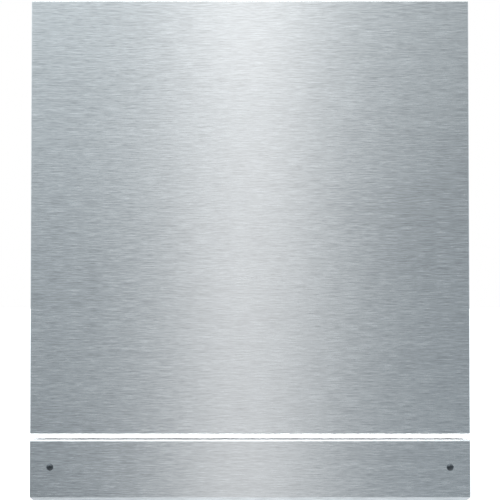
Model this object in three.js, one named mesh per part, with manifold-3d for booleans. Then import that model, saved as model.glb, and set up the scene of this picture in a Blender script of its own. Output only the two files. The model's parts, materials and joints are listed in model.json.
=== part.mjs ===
// Built-in dishwasher, 60 cm wide, with a brushed steel door front and a matching steel plinth.
// Millimetres, +Z up. The user stands at -Y and the origin is on the floor under the middle.
import * as THREE from "three";
import { mergeVertices } from "three/addons/utils/BufferGeometryUtils.js";
import Module from "manifold-3d";

const wasm = await Module();
wasm.setup();

// ---- Driving dimensions ------------------------------------------------------------------
const BODY_HALF = 299; // side panels, half the width over all
const FRONT_HALF = 297; // door front and plinth
const DEPTH_HALF = 285;
const SHEET = 0.9; // steel sheet of the tub, door and side panels
const TRIM_SHEET = 1; // thicker steel of the door front and plinth
const CLEAR = 0.4; // gap between pieces that touch

const FACE_Y = -DEPTH_HALF + 2; // plane of the door front and plinth; the screw heads stand proud of it
const TRAY_DEPTH = 18; // folded edges of the door front
const DOOR_FRONT = [105, 692]; // bottom and top of the door front
const PLINTH_FACE = [18, 94.5]; // flat face of the plinth
const PLINTH_TOP = 96.5;
const PLINTH_FLANGE = 30; // depth of the fold along the plinth's top edge
const PLINTH_SCREW = { x: 270, z: 60, head: 4.7, shank: 1.9, hole: 2.4 };

const PIVOT = { y: -258, z: 145, pin: 4, eye: 4.35 }; // door hinge axis, along X
const LINER_Y = -225.3; // inner face of the closed door
const SHELL_HALF = 288.5;
const SHELL_REAR_Y = LINER_Y - SHEET - CLEAR;
const SHELL_FRONT_Y = FACE_Y + TRAY_DEPTH + CLEAR;
const DOOR_TOP = 683.5; // top of the door under its control strip

const TUB = { half: 281, front: -216, rear: 262, floor: 148, ledge: 176.8, ledgeX: 256, top: 664 };
const FRAME_TOP = 688; // top of the sheet frame round the tub's mouth
const BODY_REAR = 272; // back of the base pan and side panels
const BODY_TOP = 689;
const PAN = { half: 283, front: -234, bottom: 22, top: 98, wall: 3 };
const FOOT = { x: 255, front: -205, rear: 245, pad: 19, stem: 5, bore: 5.6 };

const SPRAY_Y = 20; // centre of the spray arms and of the sump
const WELL_R = 92;
const RACK_FRONT = -204;
const WHEEL = { r: 15.6, width: 10, axle: 3, bore: 3.5, x: 263, ys: [-62, 172] };
const LOWER_RACK = { half: 250, rear: 236, floor: 208, rim: 318, slopeY: -164, slopeZ: 242 };
const UPPER_RACK = { half: 241, rear: 228, floor: 476, rim: 567 };
const WIRE = 4;
const RAIL = { z: [500, 540], y: [-206, 232] };

// ---- Materials ---------------------------------------------------------------------------
const finish = (color, roughness, metalness) => new THREE.MeshStandardMaterial({ color, roughness, metalness });
const BRUSHED = finish(0xb4bbc0, 0.35, 1);
const STAINLESS = finish(0xc2c5c7, 0.28, 1);
const ZINC = finish(0xa7adb0, 0.5, 0.9);
const DARK_STEEL = finish(0x3b4147, 0.35, 0.9);
const WHITE_PLASTIC = finish(0xf2f2ef, 0.45, 0);
const GREY_PLASTIC = finish(0x8d9296, 0.5, 0);
const DARK_PLASTIC = finish(0x24272b, 0.4, 0);
const BLUE_PLASTIC = finish(0x4b6f96, 0.45, 0);
const RUBBER = finish(0x4a4d50, 0.8, 0);
const FLEECE = finish(0x55585b, 0.95, 0);
const RACK_COAT = finish(0xa9aeb3, 0.4, 0.1);

// ---- Solid modelling helpers -------------------------------------------------------------
function solid(geometry) {
  const bare = geometry.clone();
  for (const name of Object.keys(bare.attributes)) {
    if (name !== "position") bare.deleteAttribute(name);
  }
  const merged = mergeVertices(bare, 1e-4);
  return new wasm.Manifold(
    new wasm.Mesh({
      numProp: 3,
      vertProperties: merged.attributes.position.array,
      triVerts: new Uint32Array(merged.index.array),
    }),
  );
}

function geometryOf(body) {
  const mesh = body.getMesh();
  const geometry = new THREE.BufferGeometry();
  geometry.setAttribute("position", new THREE.BufferAttribute(new Float32Array(mesh.vertProperties), 3));
  geometry.setIndex(new THREE.BufferAttribute(new Uint32Array(mesh.triVerts), 1));
  geometry.computeVertexNormals();
  return geometry;
}

const join = (...bodies) => bodies.flat().reduce((a, b) => a.add(b));
const cut = (body, ...tools) => tools.flat().reduce((a, b) => a.subtract(b), body);
const ordered = (a, b) => [Math.min(a, b), Math.max(a, b)];

// A box between two limits on each axis.
function slab(x, y, z) {
  const [lo, hi] = [ordered(...x), ordered(...y), ordered(...z)].reduce(
    ([a, b], [l, h]) => [
      [...a, l],
      [...b, h],
    ],
    [[], []],
  );
  const box = new THREE.BoxGeometry(hi[0] - lo[0], hi[1] - lo[1], hi[2] - lo[2]);
  box.translate((lo[0] + hi[0]) / 2, (lo[1] + hi[1]) / 2, (lo[2] + hi[2]) / 2);
  return solid(box);
}

const outline = (points) => new THREE.Shape(points.map(([a, b]) => new THREE.Vector2(a, b)));
const asShape = (form) => (Array.isArray(form) ? outline(form) : form);
const extruded = (form, depth, curveSegments) =>
  new THREE.ExtrudeGeometry(asShape(form), { depth, bevelEnabled: false, curveSegments });

// An outline in Y and Z swept along X.
function prismX(form, x, curveSegments = 8) {
  const [lo, hi] = ordered(...x);
  const geometry = extruded(form, hi - lo, curveSegments);
  const axes = new THREE.Matrix4().makeBasis(
    new THREE.Vector3(0, 1, 0),
    new THREE.Vector3(0, 0, 1),
    new THREE.Vector3(1, 0, 0),
  );
  return solid(geometry.applyMatrix4(axes).translate(lo, 0, 0));
}

// An outline in X and Z swept along Y.
function prismY(form, y, curveSegments = 8) {
  const [lo, hi] = ordered(...y);
  const geometry = extruded(form, hi - lo, curveSegments).rotateX(Math.PI / 2);
  return solid(geometry.translate(0, hi, 0));
}

// An outline in X and Y swept along Z.
function prismZ(form, z, curveSegments = 8) {
  const [lo, hi] = ordered(...z);
  return solid(extruded(form, hi - lo, curveSegments).translate(0, 0, lo));
}

// A round bar along an axis, "x", "y" or "z", from one end to the other through the given centre.
function round(axis, radius, ends, [u, v], segments = 24) {
  const [lo, hi] = ordered(...ends);
  const bar = new THREE.CylinderGeometry(radius, radius, hi - lo, segments);
  const middle = (lo + hi) / 2;
  if (axis === "x") bar.rotateZ(-Math.PI / 2).translate(middle, u, v);
  if (axis === "y") bar.translate(u, middle, v);
  if (axis === "z") bar.rotateX(Math.PI / 2).translate(u, v, middle);
  return solid(bar);
}

// A profile of radius and height turned about a vertical axis.
function turned(profile, [x, y] = [0, 0], segments = 32) {
  const points = profile.map(([r, z]) => new THREE.Vector2(r, z));
  return solid(new THREE.LatheGeometry(points, segments).rotateX(Math.PI / 2).translate(x, y, 0));
}

// A square wire between two points.
function wire(from, to, thickness = WIRE) {
  const [a, b] = [new THREE.Vector3(...from), new THREE.Vector3(...to)];
  const along = b.clone().sub(a);
  const bar = new THREE.BoxGeometry(thickness, thickness, along.length() + thickness);
  const turn = new THREE.Quaternion().setFromUnitVectors(new THREE.Vector3(0, 0, 1), along.normalize());
  bar.applyQuaternion(turn);
  return solid(bar.translate(...a.add(b).multiplyScalar(0.5).toArray()));
}

const steps = (from, to, count) => Array.from({ length: count }, (_, i) => from + ((to - from) * i) / (count - 1));

function part(group, name, body, material, position = [0, 0, 0]) {
  const mesh = new THREE.Mesh(geometryOf(body), material);
  mesh.name = name;
  mesh.position.set(...position);
  group.add(mesh);
}

const SIDES = [
  ["left", -1],
  ["right", 1],
];

// ---- Plinth ------------------------------------------------------------------------------
// Folded sheet: a raked lip below, a flat face, and a fold that runs back along the top.
function plinthPanel() {
  const [bottom, top] = PLINTH_FACE;
  const back = FACE_Y + PLINTH_FLANGE;
  const section = [
    [FACE_Y + 6.5, bottom - 9],
    [FACE_Y, bottom],
    [FACE_Y, top],
    [FACE_Y + 2, PLINTH_TOP],
    [back, PLINTH_TOP],
    [back, PLINTH_TOP - TRIM_SHEET],
    [FACE_Y + 2.4, PLINTH_TOP - TRIM_SHEET],
    [FACE_Y + TRIM_SHEET, top - 0.4],
    [FACE_Y + TRIM_SHEET, bottom + 0.3],
    [FACE_Y + 7.3, bottom - 8.4],
  ];
  const flangeCut = 9;
  const lipCut = 9;
  const mitres = SIDES.flatMap(([, side]) => [
    prismZ(
      [
        [side * (FRONT_HALF + 2), FACE_Y + 2.5],
        [side * (FRONT_HALF - 1), FACE_Y + 2.5],
        [side * (FRONT_HALF - flangeCut), back + 1],
        [side * (FRONT_HALF + 2), back + 1],
      ],
      [PLINTH_TOP - 3, PLINTH_TOP + 1],
    ),
    prismY(
      [
        [side * (FRONT_HALF + 2), bottom],
        [side * FRONT_HALF, bottom],
        [side * (FRONT_HALF - lipCut - 1), bottom - lipCut - 1],
        [side * (FRONT_HALF + 2), bottom - lipCut - 1],
      ],
      [FACE_Y - 1, FACE_Y + 9],
    ),
    round("y", PLINTH_SCREW.hole, [FACE_Y - 1, FACE_Y + 3], [side * PLINTH_SCREW.x, PLINTH_SCREW.z], 16),
  ]);
  return cut(prismX(section, [-FRONT_HALF, FRONT_HALF]), mitres);
}

// Domed screw with a six-sided socket, its axis along Y and the underside of its head at the origin.
function plinthScrew() {
  const { head, shank } = PLINTH_SCREW;
  const dome = turned(
    [
      [0, 2],
      [head * 0.55, 1.75],
      [head * 0.85, 1.1],
      [head, 0.1],
      [head, 0],
      [shank, 0],
      [shank, -11],
      [0, -12],
    ].reverse(),
    [0, 0],
    24,
  );
  const socket = solid(new THREE.CylinderGeometry(1.7, 1.7, 3, 6).rotateX(Math.PI / 2).translate(0, 0, 2.1));
  return cut(dome, socket).rotate([90, 0, 0]);
}

// Folded bracket that carries the plinth in front of the base pan.
function plinthBracket() {
  const front = FACE_Y + TRIM_SHEET + CLEAR;
  const back = PAN.front - CLEAR;
  const plates = join(
    slab([-15, 15], [front, front + 2], [-18, 18]),
    slab([13, 15], [front, back], [-14, 14]),
    slab([-15, 15], [back - 2, back], [-18, 18]),
  );
  return cut(plates, round("y", PLINTH_SCREW.hole, [front - 1, front + 3], [0, 0], 16));
}

// White wiper lip that closes the slot between plinth and door.
function gapSealStrip() {
  const back = PAN.front - CLEAR;
  const lipTip = FACE_Y + PLINTH_FLANGE + 0.8;
  return prismX(
    [
      [back, 80],
      [back, 102.3],
      [lipTip, 96.4],
      [lipTip, 95.2],
      [back - 2.2, 100.1],
      [back - 2.2, 80],
    ],
    [-FRONT_HALF, FRONT_HALF],
  );
}

// ---- Cabinet -----------------------------------------------------------------------------
function basePan() {
  const { half, front, bottom, top, wall } = PAN;
  const corners = SIDES.flatMap(([, side]) => [FOOT.front, FOOT.rear].map((y) => [side * FOOT.x, y]));
  const shell = cut(
    slab([-half, half], [front, BODY_REAR], [bottom, top]),
    slab([-half + wall, half - wall], [front + wall, BODY_REAR - wall], [bottom + wall, top + 1]),
  );
  const bosses = corners.map(([x, y]) => round("z", 12, [bottom, bottom + 32], [x, y], 16));
  const bores = corners.map(([x, y]) => round("z", FOOT.bore, [bottom - 1, bottom + 29], [x, y], 16));
  const lugs = SIDES.map(([, side]) => slab([side * (half - 1), side * 292], [-212, -200], [48, 57]));
  const rearHoles = [
    round("y", 14.5, [BODY_REAR - 5, BODY_REAR + 1], [-205, 72], 24),
    round("y", 12.5, [BODY_REAR - 5, BODY_REAR + 1], [205, 72], 24),
    slab([115, 151], [BODY_REAR - 5, BODY_REAR + 1], [58, 86]),
  ];
  return cut(join(shell, bosses, lugs), bores, rearHoles);
}

// Levelling foot: a round pad on a threaded stem, standing on the origin.
function foot() {
  const { pad, stem } = FOOT;
  return turned(
    [
      [0, 0],
      [pad - 1.5, 0],
      [pad, 1.5],
      [pad, 6],
      [9, 9],
      [9, 15],
      [stem, 15],
      [stem, 46],
      [0, 46],
    ],
    [0, 0],
    24,
  );
}

function sidePanel(side) {
  const [inner, outer] = [BODY_HALF - SHEET, BODY_HALF];
  const x = (a, b) => [side * a, side * b];
  const sheet = slab(x(inner, outer), [-222, BODY_REAR + 0.8], [30, BODY_TOP]);
  const folds = [
    slab(x(290, outer), [-222, -222 + SHEET], [225, BODY_TOP]),
    slab(x(286, outer), [BODY_REAR + 0.8 - SHEET, BODY_REAR + 0.8], [104, BODY_TOP]),
    slab(x(284, outer), [-168, BODY_REAR], [BODY_TOP - SHEET, BODY_TOP]),
  ];
  // Two pressed fields stand inwards from the sheet and stiffen it.
  const fields = [
    [-150, 30],
    [60, 240],
  ].map(([from, to]) => ({ y: [from, to], z: [250, 640] }));
  const depth = 2;
  const pressed = fields.map(({ y, z }) => slab(x(inner - depth, outer), y, z));
  const hollows = fields.map(({ y, z }) =>
    slab(x(inner - depth + SHEET, outer + 1), [y[0] + SHEET, y[1] - SHEET], [z[0] + SHEET, z[1] - SHEET]),
  );
  return cut(join(sheet, folds, pressed), hollows);
}

// Fleece mat wrapped over the tub's sides, back and top.
function insulationBlanket() {
  const [inner, outer] = [TUB.half + 2.5, TUB.half + 10.5];
  const y = [-205, 271.5];
  const top = [TUB.top + 1.5, TUB.top + 9.5];
  return join(
    slab([-outer, -inner], y, [230, top[1]]),
    slab([inner, outer], y, [230, top[1]]),
    slab([-outer, outer], y, top),
    slab([-outer, outer], [TUB.rear + 1.5, y[1]], [150, top[1]]),
  );
}

// Channel across the top front, notched for the door's catch.
function topBrace() {
  const half = BODY_HALF - SHEET - CLEAR;
  const [front, rear] = [TUB.front + 1.4, -170];
  const channel = cut(
    slab([-half, half], [front, rear], [675, BODY_TOP]),
    slab([-half - 1, half + 1], [front + SHEET, rear - SHEET], [674, BODY_TOP - SHEET]),
  );
  const screwHoles = [-200, 200].map((x) => round("z", 3, [BODY_TOP - 3, BODY_TOP + 1], [x, -192], 16));
  return cut(channel, slab([-20, 20], [front - 1, -190], [674, BODY_TOP + 1]), screwHoles);
}

// Half the tub's cross-section, mirrored: straight walls with a wheel ledge above a lower floor.
function tubSection(inset) {
  const [x, ledgeX] = [TUB.half - inset, TUB.ledgeX - inset];
  const [floor, ledge, top] = [TUB.floor + inset, TUB.ledge + inset, TUB.top - inset];
  return [
    [-x, top],
    [-x, ledge],
    [-ledgeX, ledge],
    [-ledgeX, floor],
    [ledgeX, floor],
    [ledgeX, ledge],
    [x, ledge],
    [x, top],
  ];
}

const SALT = { x: 170, y: 95, r: 24 };
const FILTER = { x: 44, y: -26, r: 33 };

function tub() {
  const shell = cut(
    prismY(tubSection(0), [TUB.front, TUB.rear]),
    prismY(tubSection(SHEET), [TUB.front - 1, TUB.rear - SHEET]),
  );
  const frame = cut(
    slab([-289, 289], [TUB.front, TUB.front + SHEET], [TUB.floor, FRAME_TOP]),
    prismY(tubSection(SHEET), [TUB.front - 1, TUB.front + 2]),
    slab([-20, 20], [TUB.front - 1, TUB.front + 2], [674.5, FRAME_TOP + 1]),
  );
  const threshold = slab([-TUB.ledgeX, TUB.ledgeX], [TUB.front, TUB.front + SHEET], [TUB.floor, 172]);
  const holes = [
    round("z", WELL_R, [TUB.floor - 1, TUB.floor + 2], [0, SPRAY_Y], 40),
    round("z", SALT.r, [TUB.floor - 1, TUB.floor + 2], [SALT.x, SALT.y], 24),
  ];
  return cut(join(shell, frame, threshold), holes);
}

// Rubber ring in front of the frame; the closed door presses on it.
function tubGasket() {
  const ring = cut(
    slab([-288.5, 288.5], [0, 1], [150, 672.5]),
    slab([-280.6, 280.6], [-1, 2], [158, 664.6]),
  );
  return ring.scale([1, 7.8, 1]).translate([0, TUB.front - CLEAR - 7.8, 0]);
}

// Moulded cup under the tub floor, with the pipe that carries the lower spray arm.
function sump() {
  const cup = turned(
    [
      [0, 86],
      [84, 86],
      [88, 92],
      [89, 144],
      [102, 144],
      [102, TUB.floor - CLEAR],
      [86, TUB.floor - CLEAR],
      [85, 93],
      [81, 89.5],
      [10, 89.5],
      [9, 194],
      [6, 194],
      [6, 92],
      [0, 92],
    ],
    [0, SPRAY_Y],
    40,
  );
  return cup;
}

// Round strainer plate that drops to the middle, with holes for the pipe and the filter cylinder.
function filterPlate() {
  const plate = turned(
    [
      [11, 140],
      [60, 143],
      [84, 147],
      [90.5, 149.3],
      [90.5, 150.6],
      [84, 148.4],
      [60, 144.4],
      [11, 141.4],
      [11, 140],
    ],
    [0, SPRAY_Y],
    40,
  );
  return cut(plate, round("z", FILTER.r + 1.2, [130, 160], [FILTER.x, SPRAY_Y + FILTER.y], 28));
}

// Removable strainer with a cross-shaped grip, its axis on the origin.
function filterCylinder() {
  const { r } = FILTER;
  const beaker = turned(
    [
      [0, 100],
      [r - 4, 100],
      [r - 2, 156],
      [r, 158],
      [r, 162],
      [r - 4, 162],
      [r - 6, 103],
      [0, 103],
    ],
    [0, 0],
    24,
  );
  const grip = join(slab([-2, 2], [-(r - 3), r - 3], [156, 174]), slab([-(r - 3), r - 3], [-2, 2], [156, 174]));
  return join(beaker, grip);
}

function softenerTank() {
  return join(
    slab([120, 262], [50, 225], [30, 128]),
    round("z", SALT.r + 5, [126, TUB.floor - CLEAR - 3], [SALT.x, SALT.y], 24),
  );
}

// Screw cap of the salt container, with a grip bar; its flange stands on the tub floor.
function saltCap() {
  const z = TUB.floor + SHEET + CLEAR;
  const cap = turned(
    [
      [0, z - 4],
      [SALT.r - 2, z - 4],
      [SALT.r - 2, z],
      [SALT.r + 4, z],
      [SALT.r + 4, z + 4],
      [SALT.r, z + 6],
      [0, z + 6],
    ],
    [0, 0],
    24,
  );
  return join(cap, slab([-SALT.r + 3, SALT.r - 3], [-4, 4], [z + 5, z + 16]));
}

// Spray arm: two blades that sweep back from the hub, round at the tips. The hub's open end
// takes a pipe from below when up is 1 and from above when up is -1.
function sprayArm({ reach, root, tip, thickness, hub, up }) {
  const blade = new THREE.Shape();
  const sweep = reach * 0.09;
  blade.moveTo(0, -root);
  blade.lineTo(reach - tip, -sweep - tip);
  blade.absarc(reach - tip, -sweep, tip, -Math.PI / 2, Math.PI / 2, false);
  blade.lineTo(0, root);
  blade.lineTo(-(reach - tip), sweep + tip);
  blade.absarc(-(reach - tip), sweep, tip, Math.PI / 2, Math.PI * 1.5, false);
  const body = join(
    prismZ(blade, [-thickness / 2, thickness / 2], 5),
    round("z", hub, ordered((-up * hub) / 2, (up * thickness) / 2 + up * 2), [0, 0], 24),
  );
  return cut(body, round("z", 10, ordered(-up * hub, (up * thickness) / 2 - up * 3), [0, 0], 20));
}

// Flat duct up the tub's back wall and along its ceiling, with an outlet for each upper arm.
function waterFeedTube() {
  const back = [TUB.rear - SHEET - CLEAR - 12, TUB.rear - SHEET - CLEAR];
  const roof = [TUB.top - SHEET - CLEAR - 12, TUB.top - SHEET - CLEAR];
  return join(
    slab([-20, 20], back, [TUB.floor + SHEET + CLEAR, roof[1]]),
    slab([-20, 20], [SPRAY_Y - 22, back[1]], roof),
    round("z", 9, [638.4, roof[0] + 1], [0, SPRAY_Y], 20),
    round("y", 14, [back[0] - 6, back[0] + 1], [0, 464], 24),
  );
}

// Circulation pump lying along X: motor, volute and the stub that meets the sump.
function circulationPump() {
  const axis = [130, 74];
  return join(
    round("x", 46, [-120, -82], axis, 28),
    round("x", 36, [-215, -118], axis, 28),
    round("x", 20, [-84, -70], axis, 20),
    slab([-205, -130], [100, 160], [26, 42]),
  );
}

function drainPump() {
  const axis = [-96, 62];
  return join(round("x", 30, [96, 120], axis, 24), round("x", 22, [118, 180], axis, 24), round("x", 10, [82, 98], axis, 16));
}

function inletValve() {
  const body = join(
    slab([-228, -182], [228, BODY_REAR - PAN.wall - CLEAR], [52, 92]),
    round("y", 13.2, [266, DEPTH_HALF], [-205, 72], 28),
  );
  return cut(body, round("y", 9.5, [262, DEPTH_HALF + 1], [-205, 72], 24));
}

function drainOutlet() {
  const spigot = join(
    round("y", 18, [252, BODY_REAR - PAN.wall - CLEAR], [205, 72], 24),
    round("y", 11, [266, DEPTH_HALF - 3], [205, 72], 24),
    round("y", 12, [DEPTH_HALF - 7, DEPTH_HALF - 4], [205, 72], 24),
  );
  return cut(spigot, round("y", 8.5, [256, DEPTH_HALF], [205, 72], 24));
}

// Socket for the mains lead.
function mainsInlet() {
  const body = slab([116, 150], [244, 278], [59, 85]);
  return cut(body, slab([120, 146], [262, 279], [63, 81]));
}

// Hinge plate fixed to the side panel, with the pin that carries the door.
function hingeBracket(side) {
  const { y, z, pin } = PIVOT;
  const plate = new THREE.Shape();
  plate.moveTo(-212, z - 5.5);
  plate.lineTo(-212, 112);
  plate.lineTo(-176, 112);
  plate.lineTo(-176, 205);
  plate.lineTo(-212, 205);
  plate.lineTo(-212, z + 14);
  plate.lineTo(y, z + 5.5);
  plate.absarc(y, z, 5.5, Math.PI / 2, Math.PI * 1.5, false);
  const x = (a, b) => [side * a, side * b];
  return join(
    prismX(plate, x(292.9, 295.3), 10),
    slab(x(295, 297.8), [-206, -178], [116, 200]),
    round("x", pin, x(289, 294), [y, z], 20),
  );
}

// Extension spring that balances the door, drawn as its outer cylinder.
const doorSpring = () => round("z", 3.8, [58, 139.4], [0, 0], 12);

// Channel on the tub wall in which the inner rail runs.
function outerRail(side) {
  const x = (a, b) => [side * a, side * b];
  return cut(
    slab(x(266, TUB.half - SHEET - CLEAR), RAIL.y, RAIL.z),
    slab(x(260, 278), [RAIL.y[0] - 1, RAIL.y[1] + 1], [RAIL.z[0] + 1.5, RAIL.z[1] - 1.5]),
  );
}

function innerRail(side) {
  const x = (a, b) => [side * a, side * b];
  const z = [RAIL.z[0] + 3, RAIL.z[1] - 3];
  return cut(
    slab(x(270, 277), [RAIL.y[0], RAIL.y[1] - 6], z),
    slab(x(271.5, 280), [RAIL.y[0] + 3, RAIL.y[1] - 9], [z[0] + 1.5, z[1] - 1.5]),
  );
}

// ---- Door --------------------------------------------------------------------------------
function doorFrontPanel() {
  const [bottom, top] = DOOR_FRONT;
  const back = FACE_Y + TRAY_DEPTH;
  return cut(
    slab([-FRONT_HALF, FRONT_HALF], [FACE_Y, back], [bottom, top]),
    slab(
      [-FRONT_HALF + TRIM_SHEET, FRONT_HALF - TRIM_SHEET],
      [FACE_Y + TRIM_SHEET, back + 1],
      [bottom + TRIM_SHEET, top - TRIM_SHEET],
    ),
  );
}

// Side view of the door's sheet shell. Its lower edge is rounded about the hinge axis.
function shellSection(inset, rear) {
  const radius = SHELL_REAR_Y - PIVOT.y - inset;
  const section = new THREE.Shape();
  section.moveTo(rear, DOOR_TOP - inset);
  section.lineTo(SHELL_FRONT_Y + inset, DOOR_TOP - inset);
  section.lineTo(SHELL_FRONT_Y + inset, PIVOT.z - radius);
  section.lineTo(PIVOT.y, PIVOT.z - radius);
  section.absarc(PIVOT.y, PIVOT.z, radius, -Math.PI / 2, 0, false);
  section.lineTo(rear, PIVOT.z);
  return section;
}

function doorShell() {
  return cut(
    prismX(shellSection(0, SHELL_REAR_Y), [-SHELL_HALF, SHELL_HALF]),
    prismX(shellSection(SHEET, SHELL_REAR_Y + 5), [-SHELL_HALF + SHEET, SHELL_HALF - SHEET]),
  );
}

const DISH = { half: 250, z: [200, 630], floor: LINER_Y - 18 };
const DISPENSER = { half: 80, z: [305, 465], cup: { x: [-68, -4], z: [318, 382] }, tank: { x: 42, z: 350 } };

// Stainless inner panel with a shallow dish pressed towards the outside.
function doorLiner() {
  const front = LINER_Y - SHEET;
  const [bottom, top] = DISH.z;
  const plate = cut(
    slab([-SHELL_HALF, SHELL_HALF], [front, LINER_Y], [146, DOOR_TOP]),
    slab([-DISH.half + SHEET, DISH.half - SHEET], [front - 1, LINER_Y + 1], [bottom + SHEET, top - SHEET]),
  );
  const dish = cut(
    slab([-DISH.half, DISH.half], [DISH.floor - SHEET, LINER_Y], [bottom, top]),
    slab([-DISH.half + SHEET, DISH.half - SHEET], [DISH.floor, LINER_Y + 1], [bottom + SHEET, top - SHEET]),
  );
  const hole = DISPENSER.half + 1;
  const [low, high] = DISPENSER.z;
  return cut(
    join(plate, dish),
    slab([-hole, hole], [DISH.floor - 2, DISH.floor + 2], [low - 1, high + 1]),
    slab([-17, 17], [front - 1, LINER_Y + 1], [675, DOOR_TOP - 0.8]),
  );
}

const BUTTONS = [
  ["power_button", -232],
  ["program_button", -96],
  ["start_button", 232],
];
const BUTTON = { r: 6.5, y: -247 };

function controlStrip() {
  const strip = slab([-284, 284], [SHELL_FRONT_Y + 0.6, LINER_Y - 4], [DOOR_TOP + CLEAR, 690]);
  return cut(
    strip,
    BUTTONS.map(([, x]) => round("z", BUTTON.r + 0.5, [DOOR_TOP, 691], [x, BUTTON.y], 24)),
    slab([-30, 40], [-256, -238], [688.6, 691]),
  );
}

const button = () => turned([[0, 0], [BUTTON.r, 0], [BUTTON.r, 4.6], [BUTTON.r - 0.8, 5.4], [0, 5.4]], [0, 0], 24);

// Latch case inside the door top, with the tongue that enters the top brace.
function doorLatch() {
  return join(slab([-30, 30], [-262, -228], [650, 682]), slab([-14, 14], [-229, -203], [676.5, 681]));
}

function detergentDispenser() {
  const [low, high] = DISPENSER.z;
  const flangeBack = DISH.floor + CLEAR;
  const body = join(
    slab([-DISPENSER.half, DISPENSER.half], [-262, flangeBack + 1], [low, high]),
    slab([-DISPENSER.half - 10, DISPENSER.half + 10], [flangeBack, flangeBack + 2.6], [low - 10, high + 10]),
  );
  const cup = slab(DISPENSER.cup.x, [-258, -230], DISPENSER.cup.z);
  const tank = round("y", 13, [-258, -230], [DISPENSER.tank.x, DISPENSER.tank.z], 24);
  return cut(body, cup, tank);
}

function detergentLid() {
  const back = DISH.floor + CLEAR + 3;
  const { x, z } = DISPENSER.cup;
  return join(
    slab([x[0] - 5, x[1] + 5], [back, back + 2.4], [z[0] - 5, z[1] + 5]),
    slab([x[0] + 8, x[1] - 8], [back + 2, back + 5.5], [z[1] - 8, z[1] - 2]),
  );
}

// Quarter-turn cap of the rinse aid tank, its axis along Y.
function rinseAidCap() {
  const disc = round("y", 17, [0, 3.5], [0, 0], 24);
  return join(disc, slab([-2, 2], [3, 8], [-13, 13]));
}

// Steel arm up the door's side. Its eye turns on the bracket's pin and its tail takes the spring.
function hingeArm(side) {
  const { y, z, eye } = PIVOT;
  const plate = new THREE.Shape();
  plate.moveTo(-262, z - 6);
  plate.lineTo(-262, 340);
  plate.lineTo(-232, 340);
  plate.lineTo(-232, z + 12);
  plate.lineTo(-203, z + 8);
  plate.lineTo(-203, z - 3.4);
  plate.lineTo(-232, z - 9);
  plate.lineTo(y + 4, z - 10);
  return cut(prismX(plate, [side * 289.5, side * 292.5]), round("x", eye, [side * 285, side * 295], [y, z], 20));
}

// ---- Racks -------------------------------------------------------------------------------
// Basket of wires. The floor bars run front to back and turn up at both ends.
function rackWires({ half, rear, floor, rim, slopeY = RACK_FRONT, slopeZ = floor }) {
  const bars = steps(-half, half, 9).flatMap((x) => [
    wire([x, slopeY, floor], [x, rear, floor]),
    ...(slopeZ > floor ? [wire([x, slopeY, floor], [x, RACK_FRONT, slopeZ])] : []),
    wire([x, RACK_FRONT, slopeZ], [x, RACK_FRONT, rim]),
    wire([x, rear, floor], [x, rear, rim]),
  ]);
  const cross = steps(slopeY, rear, 5).map((y) => wire([-half, y, floor + 3], [half, y, floor + 3]));
  const middle = (slopeZ + rim) / 2;
  const rings = [rim, middle].flatMap((z) => [
    wire([-half, RACK_FRONT, z], [half, RACK_FRONT, z]),
    wire([-half, rear, z], [half, rear, z]),
    wire([-half, RACK_FRONT, z], [-half, rear, z]),
    wire([half, RACK_FRONT, z], [half, rear, z]),
  ]);
  const posts = steps(slopeY, rear, 5)
    .slice(1, -1)
    .flatMap((y) => [-half, half].map((x) => wire([x, y, floor], [x, y, rim])));
  return [...bars, ...cross, ...rings, ...posts];
}

const WHEEL_Z = TUB.ledge + SHEET + CLEAR + WHEEL.r;

function lowerRack() {
  const { half, floor } = LOWER_RACK;
  const carriers = SIDES.flatMap(([, side]) =>
    WHEEL.ys.flatMap((y) => [
      slab([side * (half - 2), side * (half + 4)], [y - 11, y + 11], [WHEEL_Z - 7, floor + 2]),
      round("x", WHEEL.axle, [side * (half + 3), side * (WHEEL.x + 7)], [y, WHEEL_Z], 16),
    ]),
  );
  return join(rackWires(LOWER_RACK), carriers);
}

function rackWheel() {
  const { r, width, bore } = WHEEL;
  return cut(
    round("x", r, [-width / 2, width / 2], [0, 0], 24),
    round("x", bore, [-width, width], [0, 0], 16),
  );
}

function upperRack() {
  const { half } = UPPER_RACK;
  const sliders = SIDES.flatMap(([, side]) => [
    slab([side * 263, side * (270 - CLEAR)], [-190, 200], [511, 529]),
    ...[-130, 130].map((y) => slab([side * (half - 1), side * 264], [y - 18, y + 18], [517, 523])),
  ]);
  return join(rackWires(UPPER_RACK), sliders);
}

// Duct under the upper rack that carries water from the back wall to its spray arm.
function upperArmDuct() {
  const top = UPPER_RACK.floor - WIRE / 2 - CLEAR;
  return join(
    slab([-18, 18], [SPRAY_Y - 20, 236], [top - 12, top]),
    round("y", 14, [232, 240.5], [0, 464], 24),
    round("z", 9, [449.8, top - 11], [0, SPRAY_Y], 20),
  );
}

const BASKET = { x: [92, 238], y: [-152, -36], z: [214, 322], wall: 2.5 };

// Open cutlery basket with three cells and a carrying handle.
function cutleryBasket() {
  const { x, y, z, wall } = BASKET;
  const cell = (x[1] - x[0] - wall) / 3;
  const cells = [0, 1, 2].map((i) =>
    slab([x[0] + wall + i * cell, x[0] + (i + 1) * cell], [y[0] + wall, y[1] - wall], [z[0] + wall, z[1] + 1]),
  );
  const middle = (x[0] + x[1]) / 2;
  const grip = [middle - 5, middle + 5];
  const handle = [
    slab(grip, [y[0], y[0] + wall], [z[1] - 5, z[1] + 42]),
    slab(grip, [y[1] - wall, y[1]], [z[1] - 5, z[1] + 42]),
    slab(grip, y, [z[1] + 36, z[1] + 42]),
  ];
  return join(cut(slab(x, y, z), cells), handle);
}

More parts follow.
